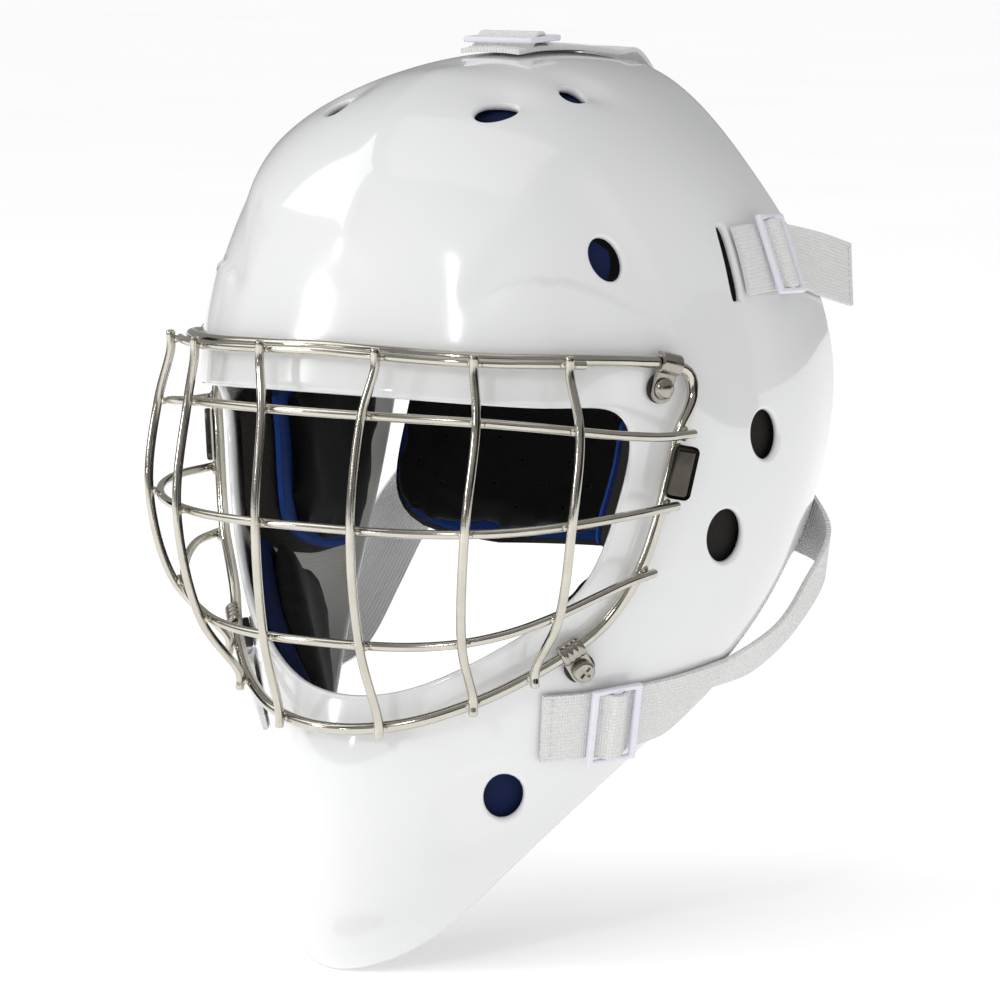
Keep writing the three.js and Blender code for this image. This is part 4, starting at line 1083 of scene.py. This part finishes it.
for level, (hooks, outside) in clipSpots.items():
    normal = outward(*hooks)
    spotIndex = int(np.argmin(np.linalg.norm(frameSamples - offSkin(*hooks, frameLift), axis=1)))
    wireAt = frameSamples[spotIndex]
    wireWay = unit(frameSamples[spotIndex + 1] - frameSamples[spotIndex - 1])
    target = wireAt + unit(np.cross(normal, wireWay)) * outside * (clipReach + cage["gap"])
    u, v = meet(target, normal, hooks)
    seat, up = skin(u, v), outward(u, v)
    lift = float(np.dot(wireAt - seat, up))
    tabCentre = seat + up * lift
    reach = float(np.linalg.norm(tabCentre - wireAt))
    toScrew = unit(tabCentre - wireAt)
    clipFrame = np.eye(4)
    clipFrame[:3, 0], clipFrame[:3, 1], clipFrame[:3, 2] = toScrew, up, unit(np.cross(toScrew, up))
    clipFrame[:3, 3] = wireAt
    screwFrame = frameAt(seat, up, toScrew)
    t, gap = clip["thickness"] / 2, cage["gap"]
    nutFace = -shell["wall"] - clip["seat"]
    eye = clip["shank"] / 2 + 0.4
    dome = rounded(clip["nutFlange"] / 2, nutFace - clip["nutThickness"], nutFace, 0.4, eye)
    pieces = {
        "cage_clip": clipBand("cageClip", reach, clipFrame, level == "lower"),
        "clip_screw": screwHead("clipScrew", lift + t + gap, nutFace, screwFrame, level == "lower"),
        "clip_washer": turned("clipWasher", rounded(clip["washer"] / 2, clip["seat"] - 0.4, lift - t - gap, 0.7, eye),
                              screwFrame, paint["rubber"]),
        "clip_nut": turned("clipNut", dome, screwFrame, paint["steel"]),
    }
    for node, piece in pieces.items():
        finish = "rubber" if node == "clip_washer" else "steel"
        base = piece.name
        piece.name = f"{base}{level.title()}Left"
        twin = mirrored(piece, f"{base}{level.title()}Right")
        finished(piece, finish, "root", f"{node}_{level}_left")
        finished(twin, finish, "root", f"{node}_{level}_right")
print("cage clips fitted")


# ---- Straps ----

def bandPiece(name, low, high):
    # low and high are rows of lanes; the band's long edges are rolled over
    count, lanes = low.shape[:2]
    middle = (low + high) / 2
    across = unit(middle[:, -1] - middle[:, 0]) * 0.35
    ring = np.concatenate([low, (middle[:, -1] + across)[:, None], high[:, ::-1],
                           (middle[:, 0] - across)[:, None]], 1)
    around = ring.shape[1]
    caps = [tuple(range(around)), tuple(range((count - 1) * around, count * around))]
    piece = meshPiece(name, ring.reshape(-1, 3), loftFaces(count, around) + caps, paint["elastic"])
    centre = middle[:, lanes // 2]
    run = np.concatenate([[0], np.cumsum(np.linalg.norm(np.diff(centre, axis=0), axis=1))])
    width = np.linalg.norm(middle[0, -1] - middle[0, 0])
    offsets = np.linspace(0, width, lanes)
    lane = np.concatenate([offsets, [width], offsets[::-1], [0]])
    layer = piece.data.uv_layers.new(name="band")
    for loop in piece.data.loops:
        i, j = divmod(loop.vertex_index, around)
        layer.data[loop.index].uv = (lane[j] * mm, run[i] * mm)
    return crisp(piece, 50)


def strapBand(sections):
    # sections smoothed along the strap and filled in across it
    sections = np.array(sections)
    count = len(sections)
    flat = sections.reshape(count, -1)
    length = np.linalg.norm(np.diff(sections.mean((1, 2)), axis=0), axis=1).sum()
    along = curveThrough(flat, max(int(length / 1.6), 6)).reshape(-1, 2, len(laneOffsets), 3)
    fine = np.linspace(0, len(laneOffsets) - 1, strap["lanes"])
    low, part = np.floor(fine).astype(int), (fine % 1)[None, None, :, None]
    high = np.minimum(low + 1, len(laneOffsets) - 1)
    filled = along[:, :, low] * (1 - part) + along[:, :, high] * part
    return filled[:, 0], filled[:, 1]


def stitches(name, low, high, insets):
    # a row of lockstitches across the band, each a short thread lying on its upper face
    run = np.concatenate([[0], np.cumsum(np.linalg.norm(np.diff(high[:, high.shape[1] // 2], axis=0), axis=1))])
    parts = []
    for inset in insets:
        row = int(np.argmin(np.abs(run - (run[-1] - inset)))) if inset > 0 else int(np.argmin(np.abs(run + inset)))
        line, under = high[row], low[row]
        up = unit(line - under)
        count = int(strap["width"] / strap["stitchPitch"]) - 1
        for k in range(count):
            share = (k + 0.8) / (count + 0.6) * (len(line) - 1)
            a, b = int(share), min(int(share) + 2, len(line) - 1)
            ends = np.array([line[a] - 0.1 * up[a], (line[a] + line[b]) / 2 + 0.28 * up[a], line[b] - 0.1 * up[b]])
            parts.append(wirePiece("stitch", curveThrough(ends, 6), 0.5, False, 6))
    piece = joined(name, parts)
    piece.data.materials.append(paint["thread"])
    return piece


plateRun = lambda places, lean=0.0: [plateSection(x, z, lean) for x, z in places]
lowerSections = plateRun(((46, -22), (56, -26.5), (66, -31), (76, -35.5), (83, -38.5)), 0.45) + [
    flatSection((94, 82, -49), (0.3, -0.65, -0.7), (0.85, 0.5, -0.1)),
    flatSection((94, 64, -67), (-0.05, -0.8, -0.6), (0.9, 0.3, -0.3)),
    flatSection((90.5, 43, -81), (-0.05, -0.93, -0.35), (0.8, 0.2, -0.55))]
lowerSections += [skinSection(c, wayAlong(lowerLine, i), lowerRay, lowerSeeds[i], strap["lift"])
                  for i, c in enumerate(lowerLine)]
upperOuter = [skinSection(c, upperWay, upperRay, upperSeeds[i], strap["lift"]) for i, c in enumerate(upperLine)]
upperOuter += [flatSection(upperLine[4] + upperWay * run * 0.6 + tailWay * run * 0.4 + tailUp * (strap["lift"] + 1),
                           tailWay, tailUp) for run in (14, 46)]
upperInner = plateRun(((44, 50), (54, 51), (64, 52), (72, 53), (77.5, 53.5))) + [
    flatSection((85, 80, 56), (0.25, -0.97, 0), (0.9, 0.25, 0.3)),
    skinSection((93, 46, 58), -upperWay, upperRay, (3.9, 4.2), 1.5, True),
    skinSection((96, 20, 61), -upperWay, upperRay, (3.7, 3.4), 1.5, True)]
crownEdge = skin(0, lastRow)
topSections = plateRun(((0, 50), (0, 58), (0, 66), (0, 74)), -math.pi / 2) + [
    flatSection(crownEdge + (0, 20, -12), (0, -0.7, 0.7), (0, 0.7, 0.7)),
    flatSection(crownEdge + (0, 5, 1), (0, -0.97, 0.25), (0, 0.25, 0.97))]
topSections += [skinSection(c, topWay, topRay, topSeeds[i], strap["lift"]) for i, c in enumerate(topLine)]

# where each strap passes from the shell to the swinging backplate
crossings = {"lower": ((91, 45, -80), (86, 90, -42)), "upper": ((92, 48, 58), (79, 92, 54)),
             "top": ((0, 80, 133), (0, 114, 70))}


def strapPiece(name, sections, node, blendOver=None, sign=1, stitchRows=()):
    low, high = strapBand(sections)
    if sign < 0:
        low, high = flip(low, -1)[:, ::-1], flip(high, -1)[:, ::-1]
    piece = bandPiece(name, low, high)
    finished(piece, "elastic", None if blendOver else "root", node)
    pieces = [piece]
    if stitchRows:
        seam = stitches(name + "Stitches", low, high, stitchRows)
        pieces.append(finished(seam, "thread", None if blendOver else "root"))
    if blendOver:
        start, end = (flip(p, sign) * mm for p in crossings[blendOver])
        for part in pieces:
            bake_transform(part)
            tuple(start)
            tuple(end)
    return pieces


for side, sign in sides.items():
    strapPiece(f"lowerStrap{side.title()}", lowerSections, f"lower_strap_{side}", "lower", sign,
               (strap["stitchInset"], -12, -18))
    strapPiece(f"upperStrap{side.title()}", upperInner, f"upper_strap_{side}", "upper", sign, (-12, -18))
    strapPiece(f"upperTail{side.title()}", upperOuter, f"upper_strap_tail_{side}", None, sign,
               (strap["stitchInset"],))
strapPiece("topStrap", topSections, "top_strap", "top", 1, (strap["stitchInset"], -12, -18))
print("straps cut and sewn")


# ---- Slides ----

def slideFrame():
    # three-bar slide, moulded flat: bars across the strap, two windows between them
    a = (strap["width"] + slide["overhang"]) / 2
    w = (strap["width"] + slide["clearance"]) / 2
    c, b = slide["centreBar"] / 2, slide["centreBar"] / 2 + slide["window"] + slide["bar"]
    xs, ys = [-a, -w, w, a], [-b, -b + slide["bar"], -c, c, b - slide["bar"], b]
    points = [(x, y, 0) for y in ys for x in xs]
    faces = [(r * 4 + k, r * 4 + k + 1, r * 4 + k + 5, r * 4 + k + 4) for r in range(5) for k in range(3)
             if not (k == 1 and r in (1, 3))]
    piece = meshPiece("slide", points, faces, paint["slide"])
    applied(piece, "SOLIDIFY", thickness=slide["thickness"] * mm, offset=1)
    applied(piece, "BEVEL", width=slide["edge"] * mm, segments=4, limit_method="ANGLE", angle_limit=math.radians(50))
    return crisp(piece)


def slideHump():
    # the strap's turn over the centre bar, which goes along the strap with the slide
    t, top = 1.5, slide["thickness"] + 0.12
    c = slide["centreBar"] / 2
    half = [(c + 5.6, -1.75), (c + 4.3, -1.35), (c + 2.9, -0.2), (c + 1.55, 1.2), (c - 0.1, top + t * 0.42)]
    line = curveThrough([(0, y, z) for y, z in half] + [(0, 0, top + t / 2 + 0.1)]
                        + [(0, -y, z) for y, z in reversed(half)], 44)
    normals = unit(np.stack([0 * line[:, 0], -np.gradient(line[:, 2]), np.gradient(line[:, 1])], 1))
    normals *= np.sign(normals[:, 2:3] + 1e-9)
    lanes = np.linspace(-strap["width"] / 2, strap["width"] / 2, strap["lanes"])[None, :, None] * np.array([1, 0, 0])
    return bandPiece("hump", (line - normals * t / 2)[:, None] + lanes, (line + normals * t / 2)[:, None] + lanes)


def setSlides():
    bar, hump = slideFrame(), slideHump()
    places = {"top_slide": (meet(topLine[topSlideAt], topRay, topSeeds[topSlideAt]), topWay, 1)}
    for side, sign in sides.items():
        places[f"upper_slide_{side}"] = (meet(upperLine[upperSlideAt], upperRay, upperSeeds[upperSlideAt]),
                                         upperWay, sign)
        places[f"lower_slide_{side}"] = (meet(lowerLine[lowerSlideAt], lowerRay, lowerSeeds[lowerSlideAt]),
                                         wayAlong(lowerLine, lowerSlideAt), sign)
    for node, ((u, v), way, sign) in places.items():
        matrix = Matrix(frameAt(offSkin(u, v, slideLift), outward(u, v), way).tolist())
        matrix.translation *= mm
        words = node.split("_")
        title = words[0] + "".join(w.title() for w in words[1:])
        for source, finish, tail in ((bar, "slide", ""), (hump, "elastic", "Hump")):
            piece = source.copy()
            piece.data = source.data.copy()
            bpy.context.scene.collection.objects.link(piece)
            piece.name = title + tail
            piece.data.transform(matrix)
            if sign < 0:
                piece.data.transform(Matrix.Scale(-1, 4, (1, 0, 0)))
                piece.data.flip_normals()
            finished(piece, finish, node, *([node] if finish == "slide" else []))
    for source in (bar, hump):
        bpy.data.objects.remove(source)


setSlides()
print("slides threaded")


# ---- Liner ----

liner = {"gap": 2, "between": 0.3, "foam": {"brow": 11, "crown": 12, "side": 12, "jaw": 7}, "blue": 2.5,
         "comfort": {"brow": 5, "side": 6, "jaw": 8}, "grid": (56, 34), "voxel": 5, "swell": 2.2, "pressure": 4}


def padShape(name, uRange, vRange, depthFrom, depthTo, edge, corner, material, shrink=0.0):
    # a slab under the skin between two depths, with its face's edges and its outline's corners rounded
    s, q = np.meshgrid(np.linspace(-1, 1, liner["grid"][0]), np.linspace(-1, 1, liner["grid"][1]), indexing="ij")
    s, q = s * (1 - corner * np.abs(q) ** 6), q * (1 - corner * np.abs(s) ** 6)
    s, q = s * (1 - shrink), q * (1 - shrink)
    u = np.mean(uRange) + s * (uRange[1] - uRange[0]) / 2
    v = np.mean(vRange) + q * (vRange[1] - vRange[0]) / 2
    back = offSkin(u, v, -depthFrom)
    wide = np.linalg.norm(np.diff(back, axis=0), axis=-1).sum(0).mean()
    tall = np.linalg.norm(np.diff(back, axis=1), axis=-1).sum(1).mean()
    shares = [np.linspace(0, 1, n) for n in liner["grid"]]
    a = np.minimum(shares[0], 1 - shares[0])[:, None] * wide / edge
    b = np.minimum(shares[1], 1 - shares[1])[None, :] * tall / edge
    inner = np.clip(np.sqrt(np.clip(1 - a, 0, 1) ** 2 + np.clip(1 - b, 0, 1) ** 2), 0, 1)
    drop = 1 - np.sqrt(1 - inner ** 2)
    thickness = depthTo - depthFrom
    face = offSkin(u, v, -(depthTo - 0.75 * drop * min(edge, thickness)))
    rows, cells = liner["grid"]
    points = np.concatenate([back.reshape(-1, 3), face.reshape(-1, 3)])
    at = lambda i, j, layer: layer * rows * cells + i * cells + j
    faces = []
    for layer in (0, 1):
        faces += [(at(i, j, layer), at(i + 1, j, layer), at(i + 1, j + 1, layer), at(i, j + 1, layer))
                  for i in range(rows - 1) for j in range(cells - 1)]
    border = ([(i, 0) for i in range(rows)] + [(rows - 1, j) for j in range(1, cells)]
              + [(i, cells - 1) for i in range(rows - 2, -1, -1)] + [(0, j) for j in range(cells - 2, 0, -1)])
    faces += [(at(*p, 0), at(*n, 0), at(*n, 1), at(*p, 1)) for p, n in zip(border, border[1:] + border[:1])]
    return crisp(meshPiece(name, points, faces, material), 50)


def plump(piece, cap):
    # blown up like a sewn cover over its foam: pressure, no gravity, and a limit on how far it may swell
    applied(piece, "REMESH", mode="VOXEL", voxel_size=liner["voxel"] * mm)
    rest = np.array([v.co for v in piece.data.vertices])
    scene = bpy.context.scene
    scene.frame_start, scene.frame_end = 1, 20
    cloth = piece.modifiers.new("cover", "CLOTH")
    cloth.settings.use_pressure = True
    cloth.settings.uniform_pressure_force = liner["pressure"]
    cloth.settings.effector_weights.gravity = 0
    cloth.point_cache.frame_start, cloth.point_cache.frame_end = 1, 20
    for number in range(1, 21):
        scene.frame_set(number)
    swollen = piece.evaluated_get(bpy.context.evaluated_depsgraph_get()).to_mesh()
    moved = np.array([v.co for v in swollen.vertices]) - rest
    piece.modifiers.remove(cloth)
    scene.frame_set(1)
    far = np.linalg.norm(moved, axis=1, keepdims=True)
    moved *= np.minimum(1, cap * mm / np.maximum(far, 1e-9))
    piece.data.vertices.foreach_set("co", (rest + moved).ravel())
    piece.data.update()
    applied(piece, "SUBSURF", levels=1, render_levels=1)
    piece.data.shade_smooth()
    return piece


def pairOf(piece, base, finish, node):
    piece.name = base + "Left"
    twin = mirrored(piece, base + "Right")
    for part, side in ((piece, "left"), (twin, "right")):
        finished(part, finish, "root", f"{node}_{side}")


def setLiner():
    start = shell["wall"] + liner["gap"]
    foam, comfort, between = liner["foam"], liner["comfort"], liner["between"]
    browU, crownU, sideU, jawU = (-3, 3), (-2.4, 2.4), (4.85, 6.5), (6.65, 9.1)
    # brow, crown and jaw foams take the blue foam darkened as painted shade
    finished(padShape("browFoam", browU, (0.15, 2), start, start + foam["brow"], 4, 0.05, paint["navy"]),
             "navy", "root", "brow_foam")
    inner = start + foam["brow"] + between
    brow = plump(padShape("browPad", browU, (0.15, 2), inner, inner + comfort["brow"], 4, 0.06,
                          paint["lining"], 0.02), liner["swell"])
    finished(brow, "lining", "root", "brow_pad")
    finished(padShape("crownFoam", crownU, (2.9, 4.7), start, start + foam["crown"], 5, 0.07, paint["navy"]),
             "navy", "root", "crown_foam")
    pairOf(padShape("side", sideU, (0.1, 4.02), start, start + foam["side"], 3, 0.06, paint["charcoal"]),
           "sideFoam", "charcoal", "side_foam")
    blueFrom = start + foam["side"] + between
    pairOf(padShape("side", sideU, (0.1, 4.02), blueFrom, blueFrom + liner["blue"], 1, 0.06, paint["blue"]),
           "sideBlueLayer", "blue", "side_blue_layer")
    padFrom = blueFrom + liner["blue"] + between
    pairOf(plump(padShape("side", sideU, (0.9, 4.02), padFrom, padFrom + comfort["side"], 4, 0.08, paint["lining"],
                          0.02), liner["swell"]), "sidePad", "lining", "side_pad")
    pairOf(padShape("jaw", jawU, (0.1, 2.9), start, start + foam["jaw"], 3, 0.06, paint["navy"]),
           "jawFoam", "navy", "jaw_foam")
    jawFrom = start + foam["jaw"] + between
    pairOf(plump(padShape("jaw", jawU, (0.1, 2.9), jawFrom, jawFrom + comfort["jaw"], 5, 0.08, paint["lining"], 0.02),
                 liner["swell"]), "jawPad", "lining", "jaw_pad")


setLiner()
print("liner cut and covered")


# ---- Backplate ----

def bowedShape(name, inset, depthFrom, depthTo, edge, material):
    # a bowed slab with a rounded outline; its layers share the bow at different depths
    rows, cells = 40, 52
    share = np.linspace(-1, 1, rows)[:, None]
    across = np.linspace(-1, 1, cells)[None, :]
    rounding = (1 - np.abs(share * 0.985) ** 5) ** 0.2
    z = plate["middle"] + share * (plate["height"] / 2 - inset) + 0 * across
    taper = (plate["width"] - plate["topWidth"]) / 4
    wide = plate["width"] / 2 - inset - (share + 1) * taper
    x = across * wide * rounding
    a = (1 - np.abs(share)) * (plate["height"] / 2) / edge + 0 * across
    b = (1 - np.abs(across)) * (plate["width"] / 2) * rounding / edge
    inner = np.clip(np.sqrt(np.clip(1 - a, 0, 1) ** 2 + np.clip(1 - b, 0, 1) ** 2), 0, 1)
    drop = (1 - np.sqrt(1 - inner ** 2)) * min(edge, (depthTo - depthFrom) / 2) * 0.9
    rear = np.stack([x, bowLine(x, z) - depthFrom - drop, z], -1)
    front = np.stack([x, bowLine(x, z) - depthTo + drop, z], -1)
    points = np.concatenate([rear.reshape(-1, 3), front.reshape(-1, 3)])
    at = lambda i, j, layer: layer * rows * cells + i * cells + j
    faces = [(at(i, j, k), at(i + 1, j, k), at(i + 1, j + 1, k), at(i, j + 1, k))
             for k in (0, 1) for i in range(rows - 1) for j in range(cells - 1)]
    border = ([(i, 0) for i in range(rows)] + [(rows - 1, j) for j in range(1, cells)]
              + [(i, cells - 1) for i in range(rows - 2, -1, -1)] + [(0, j) for j in range(cells - 2, 0, -1)])
    faces += [(at(*p, 0), at(*n, 0), at(*n, 1), at(*p, 1)) for p, n in zip(border, border[1:] + border[:1])]
    return crisp(meshPiece(name, points, faces, material), 50)


finished(bowedShape("backplateShell", 0, 0, plate["thickness"], 1.4, paint["backplate"]), "backplate", "backplate",
         "backplate")
finished(bowedShape("backplateFoam", 3, plate["foamFrom"], plate["foamFrom"] + plate["foam"], 1.2, paint["blue"]),
         "blue", "backplate", "backplate_foam")
padFrom = plate["foamFrom"] + plate["foam"] + 0.3
backPad = plump(bowedShape("backplatePad", 4, padFrom, padFrom + plate["pad"], 4, paint["punched"]), liner["swell"])
finished(backPad, "punched", "backplate", "backplate_pad")
print("backplate hung")
